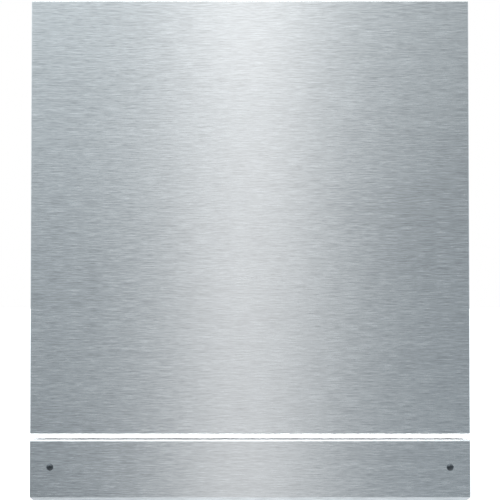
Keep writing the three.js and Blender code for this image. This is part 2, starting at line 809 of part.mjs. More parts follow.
// ---- Assembly ----------------------------------------------------------------------------
const cabinet = new THREE.Group();
part(cabinet, "base_pan", basePan(), WHITE_PLASTIC);
for (const [end, y] of [
  ["front", FOOT.front],
  ["rear", FOOT.rear],
]) {
  for (const [name, side] of SIDES) part(cabinet, `foot_${end}_${name}`, foot(), DARK_PLASTIC, [side * FOOT.x, y, 0]);
}
for (const [name, side] of SIDES) {
  part(cabinet, `side_panel_${name}`, sidePanel(side), ZINC);
  part(cabinet, `hinge_bracket_${name}`, hingeBracket(side), ZINC);
  part(cabinet, `door_spring_${name}`, doorSpring(), STAINLESS, [side * 288.5, -206, 0]);
  part(cabinet, `plinth_screw_${name}`, plinthScrew(), DARK_STEEL, [side * PLINTH_SCREW.x, FACE_Y, PLINTH_SCREW.z]);
  part(cabinet, `plinth_bracket_${name}`, plinthBracket(), ZINC, [side * PLINTH_SCREW.x, 0, PLINTH_SCREW.z]);
  part(cabinet, `outer_rail_${name}`, outerRail(side), STAINLESS);
  part(cabinet, `inner_rail_${name}`, innerRail(side), STAINLESS);
}
part(cabinet, "insulation_blanket", insulationBlanket(), FLEECE);
part(cabinet, "top_brace", topBrace(), ZINC);
part(cabinet, "tub", tub(), STAINLESS);
part(cabinet, "tub_gasket", tubGasket(), RUBBER);
part(cabinet, "sump", sump(), GREY_PLASTIC);
part(cabinet, "filter_plate", filterPlate(), STAINLESS);
part(cabinet, "filter_cylinder", filterCylinder(), GREY_PLASTIC, [FILTER.x, SPRAY_Y + FILTER.y, 0]);
part(cabinet, "softener_tank", softenerTank(), GREY_PLASTIC);
part(cabinet, "salt_cap", saltCap(), WHITE_PLASTIC, [SALT.x, SALT.y, 0]);
part(cabinet, "water_feed_tube", waterFeedTube(), GREY_PLASTIC);
part(cabinet, "circulation_pump", circulationPump(), DARK_PLASTIC);
part(cabinet, "drain_pump", drainPump(), GREY_PLASTIC);
part(cabinet, "inlet_valve", inletValve(), WHITE_PLASTIC);
part(cabinet, "drain_outlet", drainOutlet(), GREY_PLASTIC);
part(cabinet, "mains_inlet", mainsInlet(), DARK_PLASTIC);
part(cabinet, "plinth_panel", plinthPanel(), BRUSHED);
part(cabinet, "gap_seal_strip", gapSealStrip(), WHITE_PLASTIC);

const LOWER_ARM = { reach: 214, root: 26, tip: 15, thickness: 11, hub: 22, up: 1 };
const UPPER_ARM = { reach: 200, root: 24, tip: 14, thickness: 9, hub: 20, up: -1 };
const TOP_ARM = { reach: 96, root: 20, tip: 12, thickness: 8, hub: 18, up: -1 };
part(cabinet, "lower_spray_arm", sprayArm(LOWER_ARM), GREY_PLASTIC, [0, SPRAY_Y, 193]);
part(cabinet, "top_spray_arm", sprayArm(TOP_ARM), GREY_PLASTIC, [0, SPRAY_Y, 638]);

const door = new THREE.Group();
part(door, "door_front_panel", doorFrontPanel(), BRUSHED);
part(door, "door_shell", doorShell(), ZINC);
part(door, "door_liner", doorLiner(), STAINLESS);
part(door, "control_strip", controlStrip(), DARK_PLASTIC);
for (const [name, x] of BUTTONS) part(door, name, button(), STAINLESS, [x, BUTTON.y, 685.6]);
part(door, "door_latch", doorLatch(), DARK_PLASTIC);
part(door, "detergent_dispenser", detergentDispenser(), GREY_PLASTIC);
part(door, "detergent_lid", detergentLid(), WHITE_PLASTIC);
part(door, "rinse_aid_cap", rinseAidCap(), BLUE_PLASTIC, [DISPENSER.tank.x, DISH.floor + CLEAR + 3, DISPENSER.tank.z]);
for (const [name, side] of SIDES) part(door, `hinge_arm_${name}`, hingeArm(side), ZINC);

const racks = new THREE.Group();
part(racks, "lower_rack", lowerRack(), RACK_COAT);
for (const [name, side] of SIDES) {
  WHEEL.ys.forEach((y, i) => {
    const end = ["front", "rear"][i];
    part(racks, `rack_wheel_${end}_${name}`, rackWheel(), GREY_PLASTIC, [side * WHEEL.x, y, WHEEL_Z]);
  });
}
part(racks, "cutlery_basket", cutleryBasket(), GREY_PLASTIC);
part(racks, "upper_rack", upperRack(), RACK_COAT);
part(racks, "upper_arm_duct", upperArmDuct(), GREY_PLASTIC);
part(racks, "upper_spray_arm", sprayArm(UPPER_ARM), GREY_PLASTIC, [0, SPRAY_Y, 450]);

const dishwasher = new THREE.Group();
dishwasher.add(cabinet, door, racks);
export default dishwasher;
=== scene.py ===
"""Looks of a built-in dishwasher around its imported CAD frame: brushed steel door front and plinth,
sheet steel housing, stainless tub, wire racks and moulded parts. Metres, +Z up, the front faces -Y."""

import json
import math

import bmesh
import bpy
from mathutils import Matrix, Vector


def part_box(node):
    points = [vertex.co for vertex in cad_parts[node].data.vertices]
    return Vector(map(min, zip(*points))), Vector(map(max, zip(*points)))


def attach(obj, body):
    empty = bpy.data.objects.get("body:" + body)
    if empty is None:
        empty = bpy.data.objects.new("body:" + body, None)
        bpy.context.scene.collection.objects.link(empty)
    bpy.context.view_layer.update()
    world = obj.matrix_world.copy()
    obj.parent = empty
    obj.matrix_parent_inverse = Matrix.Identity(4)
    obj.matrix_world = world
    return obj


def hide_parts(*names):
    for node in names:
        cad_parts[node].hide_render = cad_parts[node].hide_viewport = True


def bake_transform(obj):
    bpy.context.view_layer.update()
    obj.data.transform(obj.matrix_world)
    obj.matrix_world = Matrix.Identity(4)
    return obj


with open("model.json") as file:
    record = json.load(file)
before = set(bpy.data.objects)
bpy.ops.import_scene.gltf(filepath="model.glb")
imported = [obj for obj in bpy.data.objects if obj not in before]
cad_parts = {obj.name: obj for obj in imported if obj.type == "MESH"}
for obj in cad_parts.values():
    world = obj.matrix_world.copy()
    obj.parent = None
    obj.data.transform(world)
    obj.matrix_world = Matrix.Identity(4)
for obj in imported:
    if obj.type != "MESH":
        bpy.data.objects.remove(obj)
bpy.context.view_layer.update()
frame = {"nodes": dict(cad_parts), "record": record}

MM = 0.001
nodes = frame["nodes"]
slot_of = {s["node"]: s["material_slot"] for s in frame["record"]["subparts"]}
body_of = {n: b for b, members in frame["record"]["behaviour"]["bodies"].items() for n in members}
scene = bpy.context.scene

FRONT_LOW, FRONT_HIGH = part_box("door_front_panel")
PLINTH_LOW, PLINTH_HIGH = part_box("plinth_panel")
FACE_Y = FRONT_LOW.y
SHEET = 0.9 * MM
CORNERS = [f"{end}_{side}" for end in ("front", "rear") for side in ("left", "right")]


# ---- Camera ------------------------------------------------------------------------------
CAMERA_DISTANCE = 1.7
CAMERA_HEIGHT = 0.3115
CAMERA_PITCH = math.radians(1.4)
LENS_MM = 90.4

camera_data = bpy.data.cameras.new("camera")
camera_data.lens = LENS_MM
camera_data.sensor_width = 36
camera = bpy.data.objects.new("camera", camera_data)
camera.location = (0.0, FACE_Y - CAMERA_DISTANCE, CAMERA_HEIGHT)
camera.rotation_euler = (math.radians(90) + CAMERA_PITCH, 0, 0)
scene.collection.objects.link(camera)
scene.camera = camera
scene.view_settings.view_transform = "Standard"


# ---- Node helpers ----------------------------------------------------------------------
def add_node(tree, kind, inputs=None, **settings):
    """A shader node with its settings and inputs; an input is a value or another node's output."""
    made = tree.nodes.new("ShaderNode" + kind)
    for key, value in settings.items():
        setattr(made, key, value)
    for key, value in (inputs or {}).items():
        if isinstance(value, bpy.types.NodeSocket):
            tree.links.new(value, made.inputs[key])
        else:
            made.inputs[key].default_value = value
    return made


def math_node(tree, operation, a, b=0.0, clamp=False):
    return add_node(tree, "Math", {0: a, 1: b}, operation=operation, use_clamp=clamp).outputs[0]


def weighted(tree, *pairs):
    """The sum of values, each times its weight."""
    parts = [math_node(tree, "MULTIPLY", value, weight) for value, weight in pairs]
    found = parts[0]
    for part in parts[1:]:
        found = math_node(tree, "ADD", found, part)
    return found


def new_material(name, color, roughness, metallic=0.0, **extra):
    """A Principled material, its node tree and its shader."""
    material = bpy.data.materials.new(name)
    material.use_nodes = True
    tree = material.node_tree
    shader = tree.nodes["Principled BSDF"]
    shader.inputs["Base Color"].default_value = (*color, 1)
    shader.inputs["Roughness"].default_value = roughness
    shader.inputs["Metallic"].default_value = metallic
    for key, value in extra.items():
        shader.inputs[key.replace("_", " ")].default_value = value
    return material, tree, shader


def coordinates(tree, scale):
    """Object coordinates in metres, times a scale per axis."""
    place = add_node(tree, "TexCoord").outputs["Object"]
    return add_node(tree, "Mapping", {"Vector": place, "Scale": scale}).outputs[0]


def noise(tree, scale, detail=3.0, roughness=0.6):
    """Noise from 0 to 1; scale is features per metre along each axis."""
    found = add_node(
        tree,
        "TexNoise",
        {"Vector": coordinates(tree, scale), "Scale": 1.0, "Detail": detail, "Roughness": roughness},
    )
    return found.outputs["Fac"]


def spread(tree, value, low, high):
    """Maps the middle of a noise, 0.3 to 0.7, to low to high."""
    return add_node(
        tree, "MapRange", {"Value": value, "From Min": 0.3, "From Max": 0.7, "To Min": low, "To Max": high}
    ).outputs[0]


def tinted(tree, color, amount, value):
    """The colour made darker and lighter by a noise."""
    factor = spread(tree, value, 1 - amount, 1 + amount)
    return add_node(tree, "VectorMath", {0: color, "Scale": factor}, operation="SCALE").outputs[0]


def bump(tree, shader, height, distance, under=None):
    inputs = {"Height": height, "Distance": distance, "Strength": 1.0}
    if under is not None:
        inputs["Normal"] = under
    made = add_node(tree, "Bump", inputs).outputs[0]
    tree.links.new(made, shader.inputs["Normal"])
    return made


# ---- Materials -------------------------------------------------------------------------
def brushed_steel(name, color):
    """Steel with a straight grain along x. The gloss spreads across the grain."""
    material, tree, shader = new_material(
        name, color, 0.25, 1.0, Anisotropic=0.82, Anisotropic_Rotation=0.25
    )
    streaks = noise(tree, (40, 300, 1000), 2.0, 0.5)
    dashes = noise(tree, (115, 300, 1800), 1.0, 0.5)
    bands = noise(tree, (5, 90, 130), 2.0)
    cloud = noise(tree, (4, 4, 4), 2.0)
    mixed = weighted(tree, (streaks, 0.55), (dashes, 0.35), (bands, 0.1))
    tree.links.new(tinted(tree, color, 0.24, mixed), shader.inputs["Base Color"])
    rough = math_node(tree, "ADD", spread(tree, mixed, 0.2, 0.29), spread(tree, cloud, -0.012, 0.012))
    tree.links.new(rough, shader.inputs["Roughness"])
    bump(tree, shader, streaks, 0.000004)
    tangent = add_node(tree, "CombineXYZ", {"X": 1.0}).outputs[0]
    tree.links.new(tangent, shader.inputs["Tangent"])
    return material


def satin_steel(name, color, roughness=0.3):
    """Drawn stainless sheet: a soft cloudy gloss with faint fine scratches."""
    material, tree, shader = new_material(name, color, roughness, 1.0)
    cloud = noise(tree, (7, 7, 7), 4.0)
    scratch = noise(tree, (1400, 1400, 60), 3.0)
    tree.links.new(tinted(tree, color, 0.015, cloud), shader.inputs["Base Color"])
    soft = spread(tree, cloud, roughness - 0.01, roughness + 0.01)
    rough = math_node(tree, "ADD", soft, spread(tree, scratch, -0.02, 0.02))
    tree.links.new(rough, shader.inputs["Roughness"])
    bump(tree, shader, scratch, 0.000003)
    return material


def perforated_steel(name, color):
    """Fine sieve sheet: rows of small holes in polished steel, painted near-black in the base colour as
    shade inside the holes.
    """
    material, tree, shader = new_material(name, color, 0.3, 1.0)
    cells = add_node(
        tree, "TexVoronoi", {"Vector": coordinates(tree, (1, 1, 1)), "Scale": 330.0, "Randomness": 0.0}
    ).outputs["Distance"]
    # Painted shade: the near-black base colour in the holes stands for the shade seen through them; the same
    # mask also drives the bump.
    sheet = add_node(
        tree, "MapRange", {"Value": cells, "From Min": 0.26, "From Max": 0.34, "To Min": 0.06, "To Max": 1.0}
    ).outputs[0]
    shade = add_node(tree, "VectorMath", {0: color, "Scale": sheet}, operation="SCALE").outputs[0]
    tree.links.new(shade, shader.inputs["Base Color"])
    bump(tree, shader, sheet, 0.0003)
    return material


def zinc_sheet(name, color):
    """Hot-dip galvanised sheet: flat crystals of slightly different grey."""
    material, tree, shader = new_material(name, color, 0.42, 1.0)
    crystals = add_node(
        tree, "TexVoronoi", {"Vector": coordinates(tree, (1, 1, 1)), "Scale": 150.0, "Randomness": 1.0}
    )
    shade = add_node(tree, "SeparateColor", {0: crystals.outputs["Color"]}).outputs[0]
    cloud = noise(tree, (30, 30, 30), 4.0)
    both = weighted(tree, (shade, 0.35), (cloud, 0.65))
    tree.links.new(tinted(tree, color, 0.05, both), shader.inputs["Base Color"])
    tree.links.new(spread(tree, both, 0.36, 0.44), shader.inputs["Roughness"])
    bump(tree, shader, cloud, 0.00004)
    return material


def plain_metal(name, color, roughness):
    """Plated steel with fine wear."""
    material, tree, shader = new_material(name, color, roughness, 1.0)
    wear = noise(tree, (260, 260, 260), 4.0)
    tree.links.new(tinted(tree, color, 0.08, wear), shader.inputs["Base Color"])
    tree.links.new(spread(tree, wear, roughness - 0.06, roughness + 0.1), shader.inputs["Roughness"])
    bump(tree, shader, wear, 0.00001)
    return material


def moulded_plastic(name, color, roughness, grain=0.00003):
    """Injection-moulded plastic with a fine spark-eroded grain."""
    material, tree, shader = new_material(name, color, roughness)
    fine = noise(tree, (1500, 1500, 1500), 2.0)
    cloud = noise(tree, (18, 18, 18), 3.0)
    tree.links.new(tinted(tree, color, 0.035, cloud), shader.inputs["Base Color"])
    tree.links.new(spread(tree, cloud, roughness - 0.04, roughness + 0.05), shader.inputs["Roughness"])
    bump(tree, shader, fine, grain)
    return material


def fleece(name, color):
    """Needled fleece: tangled fibres in several greys with a soft sheen."""
    material, tree, shader = new_material(name, color, 0.95, Sheen_Weight=0.35, Sheen_Roughness=0.6)
    fibres = noise(tree, (900, 900, 900), 6.0, 0.75)
    tufts = noise(tree, (70, 70, 70), 4.0)
    mixed = weighted(tree, (fibres, 0.65), (tufts, 0.35))
    tree.links.new(tinted(tree, color, 0.45, mixed), shader.inputs["Base Color"])
    coarse = bump(tree, shader, tufts, 0.0012)
    bump(tree, shader, fibres, 0.0004, under=coarse)
    return material


LOOKS = [
    (brushed_steel, "brushed_steel", (0.62, 0.647, 0.664)),
    (satin_steel, "tub_steel", (0.76, 0.77, 0.78)),
    (zinc_sheet, "zinc_sheet", (0.60, 0.62, 0.63)),
    (plain_metal, "dark_screw", (0.09, 0.10, 0.11), 0.16),
    (plain_metal, "bright_wire", (0.70, 0.71, 0.72), 0.2),
    (moulded_plastic, "white_plastic", (0.60, 0.60, 0.585), 0.42),
    (moulded_plastic, "grey_plastic", (0.25, 0.265, 0.28), 0.42),
    (moulded_plastic, "light_grey_plastic", (0.47, 0.49, 0.51), 0.4),
    (moulded_plastic, "dark_plastic", (0.018, 0.019, 0.021), 0.3),
    (plain_metal, "button_steel", (0.66, 0.67, 0.69), 0.26),
    (moulded_plastic, "blue_plastic", (0.04, 0.12, 0.28), 0.32),
    (moulded_plastic, "seal_rubber", (0.055, 0.057, 0.06), 0.7, 0.00006),
    (moulded_plastic, "white_lip", (0.88, 0.88, 0.87), 0.5),
    (fleece, "fleece", (0.06, 0.06, 0.063)),
    (moulded_plastic, "rack_coat", (0.30, 0.32, 0.34), 0.3, 0.00002),
    (perforated_steel, "perforated_steel", (0.70, 0.71, 0.72)),
    (moulded_plastic, "smoked_window", (0.008, 0.009, 0.010), 0.12, 0.000002),
]
MATERIALS = {name: make(name, *look) for make, name, *look in LOOKS}


# ---- Mesh helpers ----------------------------------------------------------------------
def sharpen(mesh, angle_deg=35):
    """Smooth shading that keeps real corners crisp."""
    bm = bmesh.new()
    bm.from_mesh(mesh)
    limit = math.radians(angle_deg)
    for face in bm.faces:
        face.smooth = True
    for edge in bm.edges:
        edge.smooth = len(edge.link_faces) == 2 and edge.calc_face_angle(math.pi) < limit
    bm.to_mesh(mesh)
    bm.free()


def apply_modifiers(obj):
    depsgraph = bpy.context.evaluated_depsgraph_get()
    mesh = bpy.data.meshes.new_from_object(obj.evaluated_get(depsgraph))
    obj.modifiers.clear()
    old, obj.data = obj.data, mesh
    bpy.data.meshes.remove(old)


def object_from(name, bm):
    mesh = bpy.data.meshes.new(name)
    bmesh.ops.recalc_face_normals(bm, faces=bm.faces)
    bm.to_mesh(mesh)
    bm.free()
    obj = bpy.data.objects.new(name, mesh)
    scene.collection.objects.link(obj)
    return obj


def piece(name, bm, node, replace=True, angle_deg=35, slot=None):
    """A finished piece from a bmesh."""
    obj = object_from(name, bm)
    register(obj, node, replace, angle_deg, slot)
    return obj


def register(obj, node, replace=True, angle_deg=35, slot=None):
    """Gives a piece its material, shading and body. With replace, it stands for its CAD node."""
    slot = slot or slot_of[node]
    obj.data.materials.clear()
    obj.data.materials.append(MATERIALS[slot])
    sharpen(obj.data, angle_deg)
    add_modifier(obj, "WEIGHTED_NORMAL", keep_sharp=True, weight=100)
    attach(obj, body_of[node])
    if replace:
        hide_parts(node)


def add_modifier(obj, kind, **settings):
    made = obj.modifiers.new(kind.lower(), kind)
    for key, value in settings.items():
        setattr(made, key, value)
    return made


def finish_node(name):
    """Gives a CAD node its material and fine rounded edges."""
    obj = nodes[name]
    obj.material_slots[0].material = MATERIALS[slot_of[name]]
    add_modifier(obj, "WELD", merge_threshold=0.00001)
    limit = math.radians(40)
    add_modifier(obj, "BEVEL", width=0.5 * MM, segments=2, limit_method="ANGLE", angle_limit=limit)
    for polygon in obj.data.polygons:
        polygon.use_smooth = True
    add_modifier(obj, "WEIGHTED_NORMAL", keep_sharp=False, weight=60)


def middle_of(name):
    """The centre of a CAD node's box."""
    low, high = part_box(name)
    return (low + high) / 2


def mm(points):
    """Points given in millimetres, in metres."""
    return [tuple(value * MM for value in point) for point in points]


def evenly(start, end, count):
    """Values from start to end, equally far apart."""
    return [start + (end - start) * i / (count - 1) for i in range(count)]


def arc(centre, radius, start_deg, end_deg, count):
    """Points on an arc in a plane."""
    angles = [math.radians(angle) for angle in evenly(start_deg, end_deg, count)]
    return [(centre[0] + radius * math.cos(a), centre[1] + radius * math.sin(a)) for a in angles]


def circle(radius, sides):
    """Points on a circle."""
    angles = [2 * math.pi * i / sides for i in range(sides)]
    return [(radius * math.cos(a), radius * math.sin(a)) for a in angles]


def fillet(points, radius, steps=4, closed=False):
    """A polyline with its corners rounded."""
    corners = [Vector(p) for p in points]
    triples = list(zip(corners, corners[1:], corners[2:]))
    if closed:
        triples = list(zip(corners[-1:] + corners[:-1], corners, corners[1:] + corners[:1]))
    found = [] if closed else [corners[0]]
    for before, corner, after in triples:
        back, ahead = before - corner, after - corner
        reach = min(radius, back.length * 0.48, ahead.length * 0.48)
        start, end = corner + back.normalized() * reach, corner + ahead.normalized() * reach
        for i in range(steps + 1):
            t = i / steps
            found.append(start.lerp(corner, t).lerp(corner.lerp(end, t), t))
    return found if closed else found + [corners[-1]]


def sweep(bm, points, section, closed=False, across=None):
    """Sweeps a closed section along points; the section's first axis starts along across."""
    path = [Vector(p) for p in points]
    count = len(path)
    side = None
    rings = []
    for i, point in enumerate(path):
        after = path[(i + 1) % count] if closed else path[min(i + 1, count - 1)]
        before = path[i - 1] if closed else path[max(i - 1, 0)]
        ahead = (after - before).normalized()
        if side is None:
            side = Vector(across) if across else ahead.orthogonal()
        side = (side - ahead * side.dot(ahead)).normalized()
        up = ahead.cross(side)
        rings.append([bm.verts.new(point + side * u + up * v) for u, v in section])
    pairs = list(zip(rings, rings[1:]))
    if closed:
        pairs.append((rings[-1], rings[0]))
    for low, high in pairs:
        for i in range(len(section)):
            j = (i + 1) % len(section)
            bm.faces.new((low[i], low[j], high[j], high[i]))
    if not closed:
        bm.faces.new(rings[0])
        bm.faces.new(list(reversed(rings[-1])))


def lathe(profile, origin, axis="z", segments=48):
    """Turns a profile of (radius, height) about an axis through the origin; radius 0 closes an end."""
    turn = {
        "z": Matrix.Identity(3),
        "y": Matrix(((1, 0, 0), (0, 0, 1), (0, -1, 0))),
        "-y": Matrix(((1, 0, 0), (0, 0, -1), (0, 1, 0))),
        "x": Matrix(((0, 0, 1), (0, 1, 0), (-1, 0, 0))),
    }[axis]
    bm = bmesh.new()
    rings = []
    for radius, height in profile:
        count = 1 if radius == 0 else segments
        ring = []
        for i in range(count):
            angle = 2 * math.pi * i / segments
            point = Vector((radius * math.cos(angle), radius * math.sin(angle), height))
            ring.append(bm.verts.new(turn @ point + Vector(origin)))
        rings.append(ring)
    for low, high in zip(rings, rings[1:]):
        for i in range(segments):
            j = (i + 1) % segments
            corners = [low[i % len(low)], low[j % len(low)], high[j % len(high)], high[i % len(high)]]
            unique = list(dict.fromkeys(corners))
            if len(unique) > 2:
                bm.faces.new(unique)
    return bm


def add_lathe(bm, profile, origin, segments):
    """Adds an upright turned piece to a mesh."""
    turned = lathe(profile, origin, "z", segments)
    scratch = bpy.data.meshes.new("scratch")
    turned.to_mesh(scratch)
    turned.free()
    bm.from_mesh(scratch)
    bpy.data.meshes.remove(scratch)


def reshape_round(bm, centre, reach, scale, axes):
    """Scales the points further than reach from a centre line by scale(angle); axes run across the line."""
    i, j = axes
    for vert in bm.verts:
        u, v = vert.co[i] - centre[i], vert.co[j] - centre[j]
        if math.hypot(u, v) > reach:
            grown = scale(math.atan2(v, u))
            vert.co[i] = centre[i] + u * grown
            vert.co[j] = centre[j] + v * grown


def add_box(bm, low, high, radius=0.0, segments=2):
    """Adds a box with rounded edges."""
    low, high = Vector(low), Vector(high)
    place = Matrix.Translation((low + high) / 2) @ Matrix.Diagonal((*(high - low), 1))
    made = bmesh.ops.create_cube(bm, size=1, matrix=place)["verts"]
    if radius:
        edges = list({e for v in made for e in v.link_edges})
        bmesh.ops.bevel(bm, geom=edges, offset=radius, segments=segments, profile=0.5, affect="EDGES")


def smooth_step(value, low, high):
    t = min(1.0, max(0.0, (value - low) / (high - low)))
    return t * t * (3 - 2 * t)


def inside_depth(u, v, box, corner):
    """How far a point is inside a rectangle with round corners; box is u0, u1, v0, v1."""
    half_u, half_v = (box[1] - box[0]) / 2, (box[3] - box[2]) / 2
    du = abs(u - (box[0] + box[1]) / 2) - (half_u - corner)
    dv = abs(v - (box[2] + box[3]) / 2) - (half_v - corner)
    outside = math.hypot(max(du, 0), max(dv, 0)) + min(max(du, dv), 0)
    return corner - outside


def relief_sheet(place, u_lines, v_lines, depth, holes=()):
    """A pressed sheet: a grid over lines in u and v, at place(u, v, depth(u, v))."""
    bm = bmesh.new()
    grid = [[bm.verts.new(place(u, v, depth(u, v))) for v in v_lines] for u in u_lines]
    for i in range(len(u_lines) - 1):
        for j in range(len(v_lines) - 1):
            u, v = (u_lines[i] + u_lines[i + 1]) / 2, (v_lines[j] + v_lines[j + 1]) / 2
            if not any(a < u < b and c < v < d for a, b, c, d in holes):
                bm.faces.new((grid[i][j], grid[i + 1][j], grid[i + 1][j + 1], grid[i][j + 1]))
    bmesh.ops.delete(bm, geom=[v for v in bm.verts if not v.link_faces], context="VERTS")
    return bm


def grid_lines(low, high, dense=(), step=0.04, fine=0.003):
    """Grid positions from low to high, close together in each dense (from, to) stretch."""
    found = {low, high}
    count = max(1, round((high - low) / step))
    found |= {low + (high - low) * i / count for i in range(count)}
    for start, end in dense:
        found = {f for f in found if not start < f < end} | {start, end}
        inner = max(1, round((end - start) / fine))
        found |= {start + (end - start) * i / inner for i in range(inner)}
    kept = []
    for value in sorted(found):
        if low <= value <= high and (not kept or value - kept[-1] > 1e-5):
            kept.append(value)
    return kept


def solid_sheet(obj, thickness, bevel=0.0):
    """Makes a sheet's surface solid, inwards from its faces."""
    add_modifier(obj, "SOLIDIFY", thickness=thickness, offset=-1, use_even_offset=True)
    if bevel:
        limit = math.radians(60)
        add_modifier(obj, "BEVEL", width=bevel, segments=2, limit_method="ANGLE", angle_limit=limit)
    apply_modifiers(obj)


def flip_outward(obj, centre):
    """Turns the faces so that most of them point away from centre."""
    total = sum(p.area * p.normal.dot(p.center - centre) for p in obj.data.polygons)
    if total < 0:
        obj.data.flip_normals()


def face_towards(obj, direction):
    """Turns the faces so that most of them look along direction."""
    if sum(p.area * p.normal.dot(direction) for p in obj.data.polygons) < 0:
        obj.data.flip_normals()


def sheet_piece(name, bm, node, outward, angle_deg, thickness=SHEET, bevel=0.0):
    """A finished piece of solid sheet from a surface whose faces look mostly outward."""
    sheet = object_from(name, bm)
    face_towards(sheet, Vector(outward))
    solid_sheet(sheet, thickness, bevel)
    register(sheet, node, angle_deg=angle_deg)


# ---- Door front and plinth -------------------------------------------------------------
BEND = 1.1 * MM
TRIM = 1.0 * MM


def folded_tray(low, high):
    """Sheet box, open at the back, with bent edges."""
    bm = bmesh.new()
    centre, size = (low + high) / 2, high - low
    bmesh.ops.create_cube(bm, size=1, matrix=Matrix.Translation(centre) @ Matrix.Diagonal((*size, 1)))
    back = [f for f in bm.faces if f.normal.y > 0.5]
    bmesh.ops.delete(bm, geom=back, context="FACES_ONLY")
    bends = [e for e in bm.edges if len(e.link_faces) == 2]
    bmesh.ops.bevel(bm, geom=bends, offset=BEND, segments=5, profile=0.5, affect="EDGES")
    return bm


def make_door_front():
    tray = folded_tray(FRONT_LOW, FRONT_HIGH)
    sheet_piece("door_front_steel", tray, "door_front_panel", (0, -1, 0), 50, TRIM, 0.25 * MM)


def make_plinth():
    """Raked lip, flat face and top fold as one bent sheet with mitred ends."""
    half = PLINTH_HIGH.x
    lip_tip = (PLINTH_LOW.y + 6.5 * MM, PLINTH_LOW.z)
    face_low, face_high = PLINTH_LOW.z + 10.5 * MM, PLINTH_HIGH.z - 2 * MM
    fold_r, lip_r = 2.0 * MM, 1.6 * MM
    lip_bend = arc((FACE_Y + lip_r, face_low + 0.6 * MM), lip_r, 216, 180, 5)
    top_bend = arc((FACE_Y + fold_r, face_high), fold_r, 180, 90, 7)
    section = [lip_tip] + lip_bend + top_bend + [(PLINTH_HIGH.y, PLINTH_HIGH.z)]

    def end(y, z):
        below = max(0.0, face_low - z)
        behind = max(0.0, y - (FACE_Y + fold_r)) if z > face_high else 0.0
        return half - below - behind * 9 / 28

    bm = bmesh.new()
    columns = []
    for across in evenly(-1, 1, 13):
        columns.append([bm.verts.new((across * end(y, z), y, z)) for y, z in section])
    for a, b in zip(columns, columns[1:]):
        for i in range(len(section) - 1):
            bm.faces.new((a[i], b[i], b[i + 1], a[i + 1]))
    sheet_piece("plinth_steel", bm, "plinth_panel", (0, -1, 0), 50, TRIM, 0.25 * MM)


def make_plinth_screws():
    """Domed screws with a six-lobed recess."""
    for name in ("plinth_screw_left", "plinth_screw_right"):
        low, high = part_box(name)
        centre = (low + high) / 2
        r = (high.x - low.x) / 2
        top = FACE_Y - low.y
        profile = [(0.0, top - 1.3 * MM), (1.45 * MM, top - 1.2 * MM), (1.6 * MM, top - 0.12 * MM)]
        profile += [(1.85 * MM, top)]
        profile += [(r * math.sin(a), top * (1 - (1 - math.cos(a)) * 0.92)) for a in (0.65, 0.9, 1.15, 1.4)]
        profile += [(r, 0.12 * MM), (r - 0.15 * MM, 0), (1.9 * MM, 0), (1.9 * MM, -10 * MM), (0, -11.5 * MM)]
        bm = lathe(profile, (centre.x, FACE_Y, centre.z), "-y", 48)
        for vert in bm.verts:
            offset = Vector((vert.co.x - centre.x, 0, vert.co.z - centre.z))
            if vert.co.y < FACE_Y - 0.2 * MM and offset.length < 1.75 * MM:
                lobes = math.cos(6 * math.atan2(offset.z, offset.x))
                scale = 1 + 0.16 * lobes
                vert.co.x = centre.x + offset.x * scale
                vert.co.z = centre.z + offset.z * scale
        piece(name + "_domed", bm, name, angle_deg=40)


# ---- Racks -----------------------------------------------------------------------------
WIRE_R = 2.0 * MM
THIN_R = 1.7 * MM
LOWER_RACK_HALF = 252 * MM
LOWER_RACK_FLOOR = 208 * MM
UPPER_RACK_HALF = 243 * MM
RAIL_Z = 520 * MM


def add_rack_wires(bm, low, high, floor, slope_y, slope_z, tine_rows):
    """Rim loops, U-shaped floor wires both ways, and rows of tines that stand on the floor."""
    x, front, rear, rim = high.x - WIRE_R, low.y + WIRE_R, high.y - WIRE_R, high.z - WIRE_R
    wire, thin = circle(WIRE_R, 10), circle(THIN_R, 8)
    for z in (rim, (rim + slope_z) / 2):
        loop = [(-x, front, z), (x, front, z), (x, rear, z), (-x, rear, z)]
        sweep(bm, fillet(loop, 26 * MM, 6, closed=True), wire, closed=True)
    lengthwise, crosswise = 15, 9
    for i in range(lengthwise):
        at = (2 * (i + 1) / (lengthwise + 1) - 1) * x
        route = [(at, front + 3 * MM, rim), (at, front + 3 * MM, slope_z)]
        if slope_z != floor:
            route.append((at, slope_y, floor))
        route += [(at, rear - 3 * MM, floor), (at, rear - 3 * MM, rim)]
        sweep(bm, fillet(route, 12 * MM), thin)
    over = floor + WIRE_R + THIN_R - 0.3 * MM
    inner = x - 3 * MM
    for i in range(crosswise):
        at = slope_y + (rear - slope_y) * (i + 0.6) / crosswise
        route = [(-inner, at, rim), (-inner, at, over), (inner, at, over), (inner, at, rim)]
        sweep(bm, fillet(route, 12 * MM), thin)
    foot = over + 2.5 * MM
    for at, start, end, height, lean in tine_rows:
        sweep(bm, [(at, start - 6 * MM, foot), (at, end + 6 * MM, foot)], thin)
        for y in evenly(start, end, round((end - start) / (33 * MM)) + 1):
            tine = [(at, y, foot), (at, y, foot + height * 0.5), (at + lean, y, foot + height)]
            sweep(bm, fillet(tine, 14 * MM), thin)


